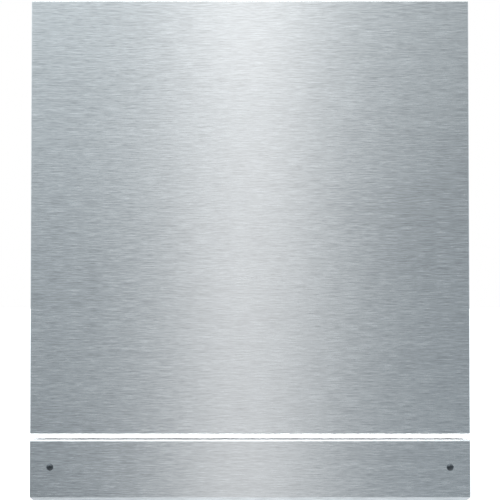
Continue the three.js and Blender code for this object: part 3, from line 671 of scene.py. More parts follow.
def make_lower_rack():
    low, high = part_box("lower_rack")
    wheel_low, wheel_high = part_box("rack_wheel_front_right")
    axle_z = (wheel_low.z + wheel_high.z) / 2
    x, floor = LOWER_RACK_HALF, LOWER_RACK_FLOOR
    basket_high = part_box("cutlery_basket")[1]
    rows = [(at, -0.13, 0.20, 78 * MM, 4 * MM) for at in (-0.212, -0.137, -0.062, 0.013)]
    rows += [(at, basket_high.y + 0.035, 0.20, 62 * MM, 3 * MM) for at in (0.092, 0.172)]
    bm = bmesh.new()
    corners = Vector((-x, low.y, low.z)), Vector((x, high.y, high.z))
    add_rack_wires(bm, *corners, floor, -0.164, 0.242, rows)
    piece("lower_rack_wires", bm, "lower_rack", angle_deg=60)

    bm = bmesh.new()
    for side in (-1, 1):
        for end in ("front", "rear"):
            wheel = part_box(f"rack_wheel_{end}_right")
            y = (wheel[0].y + wheel[1].y) / 2
            outer = side * (wheel[1].x + 2 * MM)
            plate = sorted((side * (x - 4 * MM), side * (x + 2 * MM)))
            low_corner = (plate[0], y - 11 * MM, axle_z - 7 * MM)
            add_box(bm, low_corner, (plate[1], y + 11 * MM, floor + 2 * MM), 1.5 * MM)
            clip = sorted((side * (x - 5.5 * MM), side * (x + 1.5 * MM)))
            low_corner = (clip[0], y - 8 * MM, floor - 3 * MM)
            add_box(bm, low_corner, (clip[1], y + 8 * MM, floor + 5 * MM), 1.5 * MM)
            sweep(bm, [(side * x, y, axle_z), (outer - side * 1.2 * MM, y, axle_z)], circle(3 * MM, 16))
            cap = [(outer - side * 1.4 * MM, y, axle_z), (outer, y, axle_z)]
            sweep(bm, cap, circle(4.6 * MM, 20))
    piece("lower_rack_carriers", bm, "lower_rack", slot="grey_plastic")


def make_upper_rack():
    low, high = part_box("upper_rack")
    x = UPPER_RACK_HALF
    bm = bmesh.new()
    floor = low.z + 2 * MM
    rows = [(at, -0.165, 0.195, 48 * MM, 6 * MM) for at in (-0.155, -0.065, 0.065, 0.155)]
    corners = Vector((-x, low.y, low.z)), Vector((x, high.y, high.z))
    add_rack_wires(bm, *corners, floor, low.y + 2 * MM, floor, rows)
    piece("upper_rack_wires", bm, "upper_rack", angle_deg=60)

    bm = bmesh.new()
    for side in (-1, 1):

        def slab(inner, outer, y_span, half_height, radius, segments=2):
            """A flat block beside the rack at the rails' height."""
            near, far = sorted((side * inner, side * outer))
            start, end = y_span
            low_corner = (near, start, RAIL_Z - half_height)
            add_box(bm, low_corner, (far, end, RAIL_Z + half_height), radius, segments)

        slab(x + 20 * MM, x + 26.6 * MM, (-0.19, 0.2), 9 * MM, 1.2 * MM)
        for y in (-0.13, 0.13):
            slab(x - 2.5 * MM, x + 21.5 * MM, (y - 18 * MM, y + 18 * MM), 3 * MM, 1.5 * MM)
            slab(x - 4.5 * MM, x + 2.5 * MM, (y - 24 * MM, y + 24 * MM), 14 * MM, 2.5 * MM, 3)
    piece("upper_rack_sliders", bm, "upper_rack", slot="grey_plastic")


def make_wheels():
    ring = [(0.23, -1), (0.42, -1), (0.42, -0.3), (0.78, -0.25), (0.78, -1), (0.94, -1), (1.0, -0.75)]
    ring += [(u, -v) for u, v in reversed(ring)] + [ring[0]]
    for corner in CORNERS:
        name = "rack_wheel_" + corner
        low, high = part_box(name)
        half, r = (high.x - low.x) / 2, (high.z - low.z) / 2
        bm = lathe([(u * r, v * half) for u, v in ring], (low + high) / 2, "x", 40)
        piece(name + "_moulded", bm, name, angle_deg=40)


def make_basket():
    """Cutlery basket: slotted walls, a slotted floor, two partitions and an arched handle."""
    low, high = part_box("cutlery_basket")
    rim = high.z - 42 * MM
    wall = 1.2 * MM
    bars, levels, cells = 13, 6, 3
    bottom, top = low.z + wall, rim - wall
    bm = bmesh.new()

    def lattice(along, fixed, start, end):
        """A slotted wall that runs along x or y."""

        def bar(a0, a1, z0, z1):
            near, far = (a0, fixed - wall), (a1, fixed + wall)
            if along == "y":
                near, far = near[::-1], far[::-1]
            add_box(bm, (*near, z0), (*far, z1), 0.5 * MM, 1)

        count = max(3, round((end - start) / (11 * MM)))
        for at in evenly(start, end, count + 1):
            bar(at - 1.4 * MM, at + 1.4 * MM, bottom, top)
        for i, z in enumerate(evenly(bottom, top, levels + 1)):
            half = 3 * MM if i in (0, levels) else 1.3 * MM
            bar(start, end, max(low.z, z - half), min(rim, z + half))

    for y in (low.y + wall, high.y - wall):
        lattice("x", y, low.x + wall, high.x - wall)
    for x in evenly(low.x + wall, high.x - wall, cells + 1):
        lattice("y", x, low.y + wall, high.y - wall)
    for i in range(bars):
        x = low.x + (high.x - low.x) * (i + 0.5) / bars
        add_box(bm, (x - 2.2 * MM, low.y + wall, low.z), (x + 2.2 * MM, high.y - wall, low.z + 2 * MM))
    for y in (low.y + 0.04, high.y - 0.04):
        add_box(bm, (low.x + wall, y - 3 * MM, low.z), (high.x - wall, y + 3 * MM, low.z + 2 * MM))
    x, front, rear = (low.x + high.x) / 2, low.y + 1.6 * MM, high.y - 1.6 * MM
    arch = [(x, front, rim - 40 * MM), (x, front, high.z - 3 * MM)]
    arch += [(x, rear, high.z - 3 * MM), (x, rear, rim - 40 * MM)]
    strap = mm([(-5, -1.5), (5, -1.5), (5, 1.5), (-5, 1.5)])
    sweep(bm, fillet(arch, 20 * MM, 8), strap, across=(1, 0, 0))
    piece("cutlery_basket_lattice", bm, "cutlery_basket")


# ---- Tub, gasket and door liner --------------------------------------------------------
TUB_HALF = 281 * MM
TUB_FLOOR = 148 * MM
TUB_TOP = 664 * MM
LEDGE_HALF = 256 * MM
TUB_LEDGE = 176.8 * MM
FLANGE_HALF = 289 * MM
FLANGE_TOP = 688 * MM


def tub_outline(inset):
    """The tub's cross-section in x and z, with round corners: a wheel ledge each side of a lower floor."""
    x, ledge_x = TUB_HALF - inset, LEDGE_HALF - inset
    floor, ledge, top = TUB_FLOOR + inset, TUB_LEDGE + inset, TUB_TOP - inset
    half = [(ledge_x, 0, floor), (ledge_x, 0, ledge), (x, 0, ledge), (x, 0, top)]
    loop = half + [(-p[0], 0, p[2]) for p in reversed(half)]
    radii = [9, 7, 7, 24, 24, 7, 7, 9]
    found = []
    for i, corner in enumerate(loop):
        three = [loop[i - 1], corner, loop[(i + 1) % len(loop)]]
        found += fillet(three, max(1.5 * MM, radii[i] * MM - inset), 5)[1:-1]
    return found


def make_tub():
    """Drawn shell with a rounded back, and the flat frame round its mouth."""
    low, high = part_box("tub")
    round_back = 16 * MM
    stations = [(low.y, 0.0), (-0.1, 0.0), (0.05, 0.0), (0.16, 0.0)]
    for i in range(8):
        angle = math.radians(90 * i / 7)
        y = high.y - round_back + round_back * math.sin(angle)
        stations.append((y, round_back * (1 - math.cos(angle))))
    bm = bmesh.new()
    rings = [[bm.verts.new((p.x, y, p.z)) for p in tub_outline(inset)] for y, inset in stations]
    count = len(rings[0])
    for a, b in zip(rings, rings[1:]):
        for i in range(count):
            bm.faces.new((a[i], a[(i + 1) % count], b[(i + 1) % count], b[i]))
    bm.faces.new(rings[-1])

    mouth = rings[0]
    outer = []
    for vert in mouth:
        at_side = abs(vert.co.x) / TUB_HALF > 0.97
        x = math.copysign(FLANGE_HALF, vert.co.x) if at_side else vert.co.x
        z = FLANGE_TOP if vert.co.z > TUB_TOP - 24 * MM else TUB_FLOOR
        if at_side and TUB_LEDGE + 13.2 * MM < vert.co.z <= TUB_TOP - 24 * MM:
            z = vert.co.z
        outer.append(bm.verts.new((x, low.y, z)))
    for i in range(count):
        j = (i + 1) % count
        bm.faces.new((mouth[i], outer[i], outer[j], mouth[j]))
    bmesh.ops.remove_doubles(bm, verts=bm.verts, dist=0.00002)
    shell = object_from("tub_shell", bm)
    flip_outward(shell, Vector((0, 0, 0.4)))
    solid_sheet(shell, SHEET)
    register(shell, "tub", angle_deg=40)


def make_gasket():
    """Bulb seal with a lip, round the tub's mouth."""
    low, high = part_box("tub_gasket")
    width = 7.9 * MM
    cx, z0, z1 = high.x - width / 2, low.z + width / 2, high.z - width / 2
    loop = [(-cx, high.y, z0), (cx, high.y, z0), (cx, high.y, z1), (-cx, high.y, z1)]
    section = mm([
        (-3.9, 0), (-3.9, -1.6), (-2.6, -2.2), (-3.3, -3.6), (-3.2, -5.4), (-2.0, -7.0), (-0.2, -7.7),
        (1.6, -7.2), (2.8, -5.8), (3.0, -4.2), (2.4, -2.6), (3.9, -1.6), (3.9, 0),
    ])
    bm = bmesh.new()
    sweep(bm, fillet(loop, 10 * MM, 6, closed=True), section, closed=True, across=(0, 0, 1))
    piece("tub_gasket_bulb", bm, "tub_gasket", angle_deg=60)


def make_door_liner():
    """Pressed inner panel: a deep dish inside a shallow rim, open for the dispenser and the latch."""
    low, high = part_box("door_liner")
    dish, rim = (-0.25, 0.25, 0.2, 0.63), (-0.268, 0.268, 0.182, 0.648)
    dish_depth, rim_depth = 18 * MM, 1.2 * MM
    cavity_low, cavity_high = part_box("detergent_dispenser")
    inset = 9 * MM
    hole = (cavity_low.x + inset, cavity_high.x - inset, cavity_low.z + inset, cavity_high.z - inset)
    latch = (-0.017, 0.017, 0.675, 0.6827)
    edge = 0.1 * MM

    def depth(u, v):
        pressed = dish_depth * smooth_step(inside_depth(u, v, dish, 26 * MM), 0.0, 15 * MM)
        shallow = rim_depth * smooth_step(inside_depth(u, v, rim, 30 * MM), 0.0, 5 * MM)
        return max(pressed, shallow)

    dense_u = [(s * 0.2685 - 4 * MM, s * 0.2685 + 4 * MM) for s in (-1, 1)]
    dense_u += [(-0.251, -0.215), (0.215, 0.251), (hole[0] - edge, hole[0]), (hole[1], hole[1] + edge)]
    dense_v = [(0.178, 0.186), (0.199, 0.235), (0.595, 0.631), (0.644, 0.652)]
    dense_v += [(hole[2] - edge, hole[2]), (hole[3], hole[3] + edge)]
    lines_u = sorted({*grid_lines(low.x, high.x, dense_u, 0.03, 2.2 * MM), *latch[:2]})
    lines_v = sorted({*grid_lines(low.z, high.z, dense_v, 0.03, 2.2 * MM), *latch[2:]})
    bm = relief_sheet(lambda u, v, d: (u, high.y - d, v), lines_u, lines_v, depth, [hole, latch])
    sheet_piece("door_liner_pressed", bm, "door_liner", (0, 1, 0), 60)


# ---- Housing ---------------------------------------------------------------------------
def make_side_panels():
    """Galvanised side sheets with folded edges, two pressed fields and a low one across."""
    fields = [(-0.15, 0.03, 0.25, 0.64), (0.06, 0.24, 0.25, 0.64)]
    bead = (-0.205, 0.262, 0.12, 0.2)
    dense_u = []
    for start, end in (field[:2] for field in fields):
        dense_u += [(start - 1 * MM, start + 24 * MM), (end - 24 * MM, end + 1 * MM)]
    dense_u += [(-0.206, -0.188), (0.245, 0.263)]
    dense_v = [(0.249, 0.275), (0.615, 0.641), (0.119, 0.136), (0.184, 0.201)]

    def depth(u, v):
        found = max(smooth_step(inside_depth(u, v, f, 22 * MM), 0.0, 7 * MM) for f in fields)
        low_field = smooth_step(inside_depth(u, v, bead, 14 * MM), 0.0, 6 * MM)
        return 2.0 * MM * found + 1.2 * MM * low_field

    for name, side in (("side_panel_left", -1), ("side_panel_right", 1)):
        low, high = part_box(name)
        outer = side * max(abs(low.x), abs(high.x))
        lines_u = grid_lines(low.y, high.y - 0.4 * MM, dense_u, 0.05, 2.8 * MM)
        lines_v = grid_lines(low.z, high.z - 0.4 * MM, dense_v, 0.05, 2.8 * MM)
        bm = relief_sheet(lambda u, v, d: (outer - side * d, u, v), lines_u, lines_v, depth)
        add_folds(bm, outer, side, low, high)
        sheet_piece(name + "_pressed", bm, name, (side, 0, 0), 50)


def add_folds(bm, outer, side, low, high):
    """The folded edges at the front, the back and the top."""
    bend = 1.2 * MM

    def fold(points, start, end, axis):
        rows = []
        for x, other in points:
            ends = [(x, start, other), (x, end, other)]
            if axis == "z":
                ends = [(x, other, start), (x, other, end)]
            rows.append([bm.verts.new(p) for p in ends])
        for a, b in zip(rows, rows[1:]):
            bm.faces.new((a[0], a[1], b[1], b[0]))

    def bent(reach, at, inward):
        found = [(outer, at + inward * bend)]
        for turn in (0.5, 1.0):
            x = outer - side * bend * (1 - math.cos(turn))
            found.append((x, at + inward * bend * (1 - math.sin(turn))))
        return found + [(outer - side * bend, at), (outer - side * reach, at)]

    fold(bent(9 * MM, low.y, 1), 0.225, high.z - 1.5 * MM, "z")
    fold(bent(13 * MM, high.y, -1), 0.104, high.z - 1.5 * MM, "z")
    fold(bent(15 * MM, high.z, -1), -0.168, high.y - 1.5 * MM, "y")


def mat_panel(bm, place, size, rows, columns, thickness, seams):
    """One soft panel: a front and a back face, thinner along its edges and along its seams."""
    width, length = size

    def point(i, j, face):
        u, v = width * i / rows, length * j / columns
        edge = min(u, width - u, v, length - v)
        swell = 0.45 + 0.55 * smooth_step(edge, 0.0, 14 * MM)
        for seam in seams:
            swell *= 1 - 0.55 * math.exp(-(((v - seam) / (7 * MM)) ** 2))
        wave_u = math.sin(u * 61 + 1.7 * math.sin(v * 23))
        wave_v = math.sin(v * 47 + 2.1 * math.sin(u * 19))
        uneven = 0.12 * wave_u * wave_v
        return place(u, v, thickness * (0.5 + (face - 0.5) * swell * (0.88 + uneven)))

    sheets = []
    for face in (0, 1):
        sheets.append(
            [[bm.verts.new(point(i, j, face)) for j in range(columns + 1)] for i in range(rows + 1)]
        )
    for face, grid in enumerate(sheets):
        for i in range(rows):
            for j in range(columns):
                quad = (grid[i][j], grid[i + 1][j], grid[i + 1][j + 1], grid[i][j + 1])
                bm.faces.new(quad if face else tuple(reversed(quad)))
    inner, outer = sheets
    border = [(i, 0) for i in range(rows)] + [(rows, j) for j in range(columns)]
    border += [(i, columns) for i in range(rows, 0, -1)] + [(0, j) for j in range(columns, 0, -1)]
    for (a, b), (c, d) in zip(border, border[1:] + border[:1]):
        bm.faces.new((inner[a][b], outer[a][b], outer[c][d], inner[c][d]))


def make_insulation():
    """Fleece mat wrapped round the tub from one side over the top to the other, and a second one behind."""
    low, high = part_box("insulation_blanket")
    thickness = 7.6 * MM
    bottom, bend = 0.23, 14 * MM
    up = high.z - bottom - bend
    quarter = math.pi / 2 * bend
    across = (high.x - low.x) - 2 * bend
    total = 2 * up + 2 * quarter + across

    def wrapped(u, v, offset):
        """u runs up the left side, over the top and down the right side; v runs back."""
        y = low.y + 1 * MM + v
        if u <= up:
            return (low.x + thickness - offset, y, bottom + u)
        if u <= up + quarter:
            turn = (u - up) / bend
            r = bend - thickness + offset
            return (low.x + bend - r * math.cos(turn), y, high.z - bend + r * math.sin(turn))
        if u <= up + quarter + across:
            return (low.x + bend + (u - up - quarter), y, high.z - thickness + offset)
        if u <= up + 2 * quarter + across:
            turn = (u - up - quarter - across) / bend
            r = bend - thickness + offset
            return (high.x - bend + r * math.sin(turn), y, high.z - bend + r * math.cos(turn))
        return (high.x - thickness + offset, y, high.z - bend - (u - up - 2 * quarter - across))

    bm = bmesh.new()
    deep = high.y - low.y - thickness - 3 * MM
    mat_panel(bm, wrapped, (total, deep), 150, 48, thickness, (0.09, deep / 2, deep - 0.09))
    wrap = piece("insulation_wrap", bm, "insulation_blanket", angle_deg=60)

    def behind(u, v, offset):
        return (low.x + 3 * MM + u, high.y - thickness + offset, low.z + 1 * MM + v)

    bm = bmesh.new()
    size = (high.x - low.x - 6 * MM, high.z - low.z - thickness - 4 * MM)
    mat_panel(bm, behind, size, 58, 52, thickness, (0.12, 0.26, 0.40))
    back = piece("insulation_back", bm, "insulation_blanket", angle_deg=60)


def make_springs():
    """Coil springs with a hook at each end, stretched between the base pan and the hinge arm."""
    turns, per_turn = 24, 14
    for name in ("door_spring_left", "door_spring_right"):
        low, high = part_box(name)
        centre = (low + high) / 2
        x, y = centre.x, centre.y
        r, gauge = (high.x - low.x) / 2 - 0.75 * MM, 0.7 * MM
        start, end = low.z + 9 * MM, high.z - 8 * MM
        route = [(x, y, low.z + gauge), (x, y, start - 2 * MM)]
        for i in range(turns * per_turn + 1):
            angle = 2 * math.pi * i / per_turn
            z = start + (end - start) * i / (turns * per_turn)
            route.append((x + r * math.cos(angle), y + r * math.sin(angle), z))
        route += [(x, y, end + 2 * MM), (x, y, high.z - gauge)]
        bm = bmesh.new()
        sweep(bm, route, circle(gauge, 6))
        coil = object_from(name + "_coil", bm)
        coil.data.materials.append(MATERIALS[slot_of[name]])
        sharpen(coil.data, 60)
        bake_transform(coil)
        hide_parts(name)


# ---- Spray arms ------------------------------------------------------------------------
def make_spray_arm(name, root, tip, thickness, hub, up):
    """Hollow-looking moulded arm: crowned swept blades, raised nozzles and a hub with a bearing ring."""
    low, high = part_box(name)
    centre_x, centre_y = (low.x + high.x) / 2, (low.y + high.y) / 2
    reach = (high.x - low.x) / 2
    sweep_back = reach * 0.09
    middle = (high.z - thickness / 2 - 2 * MM) if up > 0 else (low.z + thickness / 2 + 2 * MM)
    stations, around = 44, 16
    bm = bmesh.new()
    rings = []
    for i in range(stations + 1):
        share = -math.cos(math.pi * i / stations)
        x = share * reach
        out = abs(x) / (reach - tip)
        if out <= 1:
            wide, along = root + (tip - root) * out, out
        else:
            wide, along = math.sqrt(max(tip**2 - (abs(x) - (reach - tip)) ** 2, (0.4 * MM) ** 2)), 1.0
        shift = -math.copysign(sweep_back * along, x)
        tall = thickness / 2 * (1 - 0.2 * min(out, 1)) * min(1.0, 0.35 + wide / tip)
        ring = []
        for k in range(around):
            angle = 2 * math.pi * k / around
            cosine, sine = math.cos(angle), math.sin(angle)
            u = math.copysign(abs(cosine) ** 0.55, cosine) * wide
            v = math.copysign(abs(sine) ** 0.7, sine) * (tall - 0.9 * MM)
            ring.append(bm.verts.new((centre_x + x, centre_y + shift + u, middle + v)))
        rings.append(ring)
    for a, b in zip(rings, rings[1:]):
        for k in range(around):
            bm.faces.new((a[k], a[(k + 1) % around], b[(k + 1) % around], b[k]))
    bm.faces.new(rings[0])
    bm.faces.new(rings[-1])
    face = middle + thickness / 2 - 0.9 * MM
    nozzle = mm([(4.6, -1.5), (4.3, 0.6), (2.4, 0.9), (1.5, 0.5), (1.3, -1.6), (0, -1.6)])
    for side in (-1, 1):
        for share in (0.3, 0.42, 0.54, 0.66, 0.78, 0.9):
            x = side * share * reach
            swept = sweep_back * min(1, share * reach / (reach - tip)) - 4 * MM * math.cos(share * 21)
            top = face - 0.2 * share * thickness / 2
            add_lathe(bm, nozzle, (centre_x + x, centre_y - side * swept, top), 14)
    end = thickness / 2 + 2 * MM
    skirt = hub * 0.62
    profile = [(0, -end + 4.5 * MM), (hub * 0.35, -end + 3 * MM), (hub * 0.55, -end), (hub * 0.86, -end)]
    profile += [(hub, -end + 1.5 * MM), (hub * 0.98, skirt - 6 * MM), (hub * 0.8, skirt - 4 * MM)]
    profile += [(hub * 0.78, hub / 2), (10.2 * MM, hub / 2), (10.2 * MM, -end + 7 * MM), (0, -end + 7 * MM)]
    turned = [(r, -up * z) for r, z in profile]
    add_lathe(bm, turned, (centre_x, centre_y, middle), 36)
    piece(name + "_moulded", bm, name, angle_deg=45)


# ---- Door fittings ---------------------------------------------------------------------
def make_dispenser():
    """Moulded dispenser face with the detergent cup, the rinse aid neck and a raised frame."""
    low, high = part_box("detergent_dispenser")
    cup, tank, tank_r = (-0.068, -0.004, 0.318, 0.382), (0.042, 0.35), 13 * MM
    window, track = (0.024, 0.066, 0.425, 0.437), (-0.058, -0.014, 0.396, 0.452)
    deep = 17.5 * MM
    frame_box = (low.x + 6 * MM, high.x - 6 * MM, low.z + 6 * MM, high.z - 6 * MM)

    def depth(u, v):
        def pressed(amount, box, corner, start, end):
            return amount * smooth_step(inside_depth(u, v, box, corner * MM), start * MM, end * MM)

        off = math.hypot(u - tank[0], v - tank[1])
        return max(
            pressed(0.7 * MM, frame_box, 8, 0, 1.6),
            pressed(deep, cup, 6, -0.2, 1.2),
            deep * smooth_step(tank_r - off, -0.2 * MM, 1.0 * MM),
            pressed(1.0 * MM, window, 5, 0, 1.2),
            pressed(0.8 * MM, track, 4, 0, 1.2),
        )

    def dense(start, end, cup_start, cup_end):
        """Where the frame's and the cup's walls are, along one side."""
        frame_walls = [(start + 5 * MM, start + 9 * MM), (end - 9 * MM, end - 5 * MM)]
        return frame_walls + [(cup_start - 1 * MM, cup_start + 7 * MM), (cup_end - 7 * MM, cup_end + 1 * MM)]

    dense_u = dense(low.x, high.x, *cup[:2]) + [(0.023, 0.067)]
    dense_v = dense(low.z, high.z, *cup[2:]) + [(0.335, 0.365), (0.423, 0.439)]
    lines_u = grid_lines(low.x, high.x, dense_u, 0.008, 1 * MM)
    lines_v = grid_lines(low.z, high.z, dense_v, 0.008, 1 * MM)
    bm = relief_sheet(lambda u, v, d: (u, high.y - d, v), lines_u, lines_v, depth)
    sheet_piece("detergent_dispenser_face", bm, "detergent_dispenser", (0, 1, 0), 55, 1.8 * MM, 0.5 * MM)


def make_detergent_lid():
    """Sliding lid with rounded edges, a stepped finger grip and thin grip ridges below it."""
    low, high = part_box("detergent_lid")
    plate = low.y + 2.4 * MM
    left, right, under = low.x + 13 * MM, high.x - 13 * MM, plate - 0.4 * MM
    bm = bmesh.new()
    add_box(bm, low, (high.x, plate, high.z), 0.9 * MM, 3)
    add_box(bm, (left, under, high.z - 13 * MM), (right, high.y, high.z - 7 * MM), 1.2 * MM, 3)
    for i in range(4):
        z = high.z - 19 * MM - i * 4 * MM
        add_box(bm, (left, under, z - 0.7 * MM), (right, plate + 0.7 * MM, z + 0.7 * MM), 0.3 * MM)
    piece("detergent_lid_moulded", bm, "detergent_lid", angle_deg=40)


def make_rinse_cap():
    """Fluted cap with a grip bar."""
    low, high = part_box("rinse_aid_cap")
    centre = (low + high) / 2
    r, back = (high.z - low.z) / 2, low.y
    flutes = 36
    profile = [(0, 0), (r, 0), (r, 0.4 * MM), (r, 2.9 * MM), (r - 0.8 * MM, 3.5 * MM)]
    profile += [(r * 0.8, 3.5 * MM), (r * 0.76, 2.9 * MM), (0, 2.9 * MM)]
    bm = lathe(profile, (centre.x, back, centre.z), "y", flutes * 4)
    reshape_round(bm, centre, r * 0.93, lambda a: 1 - 0.02 * (1 + math.cos(flutes * a)), (0, 2))
    half = Vector((2 * MM, 0, 12.4 * MM))
    bar_low = Vector((centre.x, back + 2 * MM, centre.z)) - half
    add_box(bm, bar_low, Vector((centre.x, high.y, centre.z)) + half, 0.9 * MM, 3)
    piece("rinse_aid_cap_fluted", bm, "rinse_aid_cap", angle_deg=40)


def make_buttons():
    for name in ("power_button", "program_button", "start_button"):
        low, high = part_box(name)
        centre = (low + high) / 2
        r, tall = (high.x - low.x) / 2, high.z - low.z
        profile = [(0, 0), (r, 0), (r, tall - 0.9 * MM), (r - 0.3 * MM, tall - 0.25 * MM)]
        profile += [(r - 0.9 * MM, tall), (r * 0.7, tall - 0.1 * MM)]
        profile += [(r * 0.4, tall - 0.35 * MM), (0, tall - 0.45 * MM)]
        bm = lathe(profile, (centre.x, centre.y, low.z), "z", 48)
        piece(name + "_dished", bm, name, angle_deg=35)


def make_control_marks():
    """Generic printed marks beside the buttons and a smoked window with signal lights."""
    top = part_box("control_strip")[1].z
    print_z = (top - 0.05 * MM, top + 0.08 * MM)
    power, program, start = (middle_of(f"{name}_button") for name in ("power", "program", "start"))
    y = power.y
    gap = 15 * MM
    bm = bmesh.new()
    ring = [(power.x + gap + u, y + v, top) for u, v in arc((0, 0), 3.2 * MM, 125, 415, 30)]
    line = mm([(-0.3, -0.05), (0.3, -0.05), (0.3, 0.06), (-0.3, 0.06)])
    sweep(bm, ring, line, across=(1, 0, 0))

    def add_print(x0, x1, y0, y1):
        add_box(bm, (x0, y + y0 * MM, print_z[0]), (x1, y + y1 * MM, print_z[1]))

    add_print(power.x + gap - 0.3 * MM, power.x + gap + 0.3 * MM, 0.5, 4.2)
    for i in range(3):
        x = program.x + gap + i * 3.4 * MM
        add_print(x, x + 1.6 * MM, -2.6, -0.6 + 1.6 * i)
    arrow = mm([(-2.6, -3), (2.6, 0), (-2.6, 3)])
    bm.faces.new([bm.verts.new((start.x - gap + u, y + v, print_z[1])) for u, v in arrow])
    piece("control_marks", bm, "control_strip", replace=False, slot="light_grey_plastic")

    bm = bmesh.new()
    add_box(bm, (-0.0296, -0.2556, top - 1.35 * MM), (0.0396, -0.2384, top - 0.35 * MM), 0.4 * MM)
    window = piece("control_window", bm, "control_strip", replace=False)
    window.data.materials[0] = MATERIALS["smoked_window"]
    bm = bmesh.new()
    for i in range(5):
        x = -0.022 + i * 13 * MM
        low_corner = (x - 2.4 * MM, -0.2478, top - 0.37 * MM)
        add_box(bm, low_corner, (x + 2.4 * MM, -0.2462, top - 0.27 * MM))
    piece("control_lights", bm, "control_strip", replace=False, slot="light_grey_plastic")


# ---- Cabinet fittings ------------------------------------------------------------------
FITTING_X = 205 * MM
FITTING_Z = 72 * MM


def make_feet():
    """Levelling feet: a round pad, a hexagon for the spanner and a threaded stem."""
    pad = [(0, 0), (17, 0), (18.6, 0.6), (19, 2), (18.7, 5), (16, 6.6)]
    pad += [(9.5, 8.6), (7, 9), (7, 15), (4.4, 15.2)]
    pitch = 1.75
    for corner in CORNERS:
        name = "foot_" + corner
        low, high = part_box(name)
        centre = (low + high) / 2
        top = high.z / MM
        profile = list(pad)
        for i in range(int((top - 16.5) / pitch)):
            z = 15.6 + i * pitch
            profile += [(4.25, z), (4.95, z + pitch * 0.38)]
            profile += [(4.95, z + pitch * 0.52), (4.25, z + pitch * 0.9)]
        profile += [(4.2, top - 0.8), (3.4, top), (0, top)]
        bm = lathe(mm(profile), (centre.x, centre.y, 0), "z", 40)
        spanner = [(centre.x, centre.y, 8.8 * MM), (centre.x, centre.y, 15 * MM)]
        sweep(bm, spanner, circle(8.9 * MM, 6))
        piece(name + "_threaded", bm, name, angle_deg=35)


def make_pan_ribs():
    """Stiffening ribs outside the base pan: upright behind, crossed underneath."""
    low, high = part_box("base_pan")
    bm = bmesh.new()
    rib = 1.1 * MM
    fittings = ((-0.205, 0.026), (0.205, 0.026), (0.133, 0.03))
    back = high.y - 0.5 * MM
    for x in evenly(low.x + 20 * MM, high.x - 20 * MM, 19):
        if not any(abs(x - at) < half for at, half in fittings):
            low_corner = (x - rib, back, low.z + 6 * MM)
            add_box(bm, low_corner, (x + rib, high.y + 2.2 * MM, high.z - 3 * MM), 0.5 * MM)
    low_corner = (low.x + 2 * MM, back, high.z - 4 * MM)
    add_box(bm, low_corner, (high.x - 2 * MM, high.y + 2.6 * MM, high.z - 1 * MM), 0.6 * MM)
    under, over = low.z - 2.4 * MM, low.z + 0.5 * MM
    margin = 45 * MM
    for x in evenly(low.x + margin, high.x - margin, 9):
        add_box(bm, (x - rib, low.y + 34 * MM, under), (x + rib, high.y - 40 * MM, over), 0.5 * MM)
    for y in evenly(low.y + 40 * MM, high.y - 46 * MM, 8):
        add_box(bm, (low.x + margin, y - rib, under), (high.x - margin, y + rib, over), 0.5 * MM)
    piece("base_pan_ribs", bm, "base_pan", replace=False)


def make_water_fittings():
    """Threaded inlet, ribbed drain spigot and the mains socket's contacts."""
    low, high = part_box("inlet_valve")
    x, z = -FITTING_X, FITTING_Z
    end, pitch = high.y / MM, 1.8
    profile = [(9.5, 262), (13, 262), (16.5, 268.6), (16.5, 272.4), (13, 273)]
    for i in range(5):
        at = 273.4 + i * pitch
        profile += [(12.3, at), (13.2, at + pitch * 0.4)]
        profile += [(13.2, at + pitch * 0.55), (12.3, at + pitch * 0.95)]
    profile += [(12.2, end - 0.8), (11.6, end), (10, end), (9.5, end - 0.6), (9.5, 262)]
    bm = lathe(mm(profile), (x, 0, z), "y", 48)
    sector = math.pi / 3

    def hexagon(angle):
        return math.cos(sector / 2) / math.cos((angle % sector) - sector / 2)

    reshape_round(bm, (x, 0, z), 15.5 * MM, hexagon, (0, 2))
    add_box(bm, (low.x, low.y, low.z), (high.x, 0.2686, high.z), 2.5 * MM, 3)
    piece("inlet_valve_threaded", bm, "inlet_valve", angle_deg=35)

    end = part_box("drain_outlet")[1].y / MM
    profile = [(8.5, 256), (8.5, 252), (18, 252), (18, 267), (17, 268.6), (11.2, 268.6), (10.4, 270)]
    for i in range(3):
        at = 271 + i * 3.4
        profile += [(10.4, at), (12, at + 0.4), (12, at + 0.9), (10.6, at + 2.8)]
    profile += [(10.2, end - 0.6), (9.4, end), (8.5, end - 0.5), (8.5, 256)]
    bm = lathe(mm(profile), (FITTING_X, 0, FITTING_Z), "y", 48)
    piece("drain_outlet_ribbed", bm, "drain_outlet", angle_deg=40)

    low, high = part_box("mains_inlet")
    centre = (low + high) / 2
    bm = bmesh.new()
    half_x, half_z = 0.8 * MM, 2.2 * MM
    for across, up in mm([(-6, -1), (0, 3), (6, -1)]):
        x, z = centre.x + across, centre.z + up
        add_box(bm, (x - half_x, 0.2615, z - half_z), (x + half_x, 0.2745, z + half_z), 0.35 * MM)
    piece("mains_inlet_contacts", bm, "mains_inlet", replace=False, slot="bright_wire")


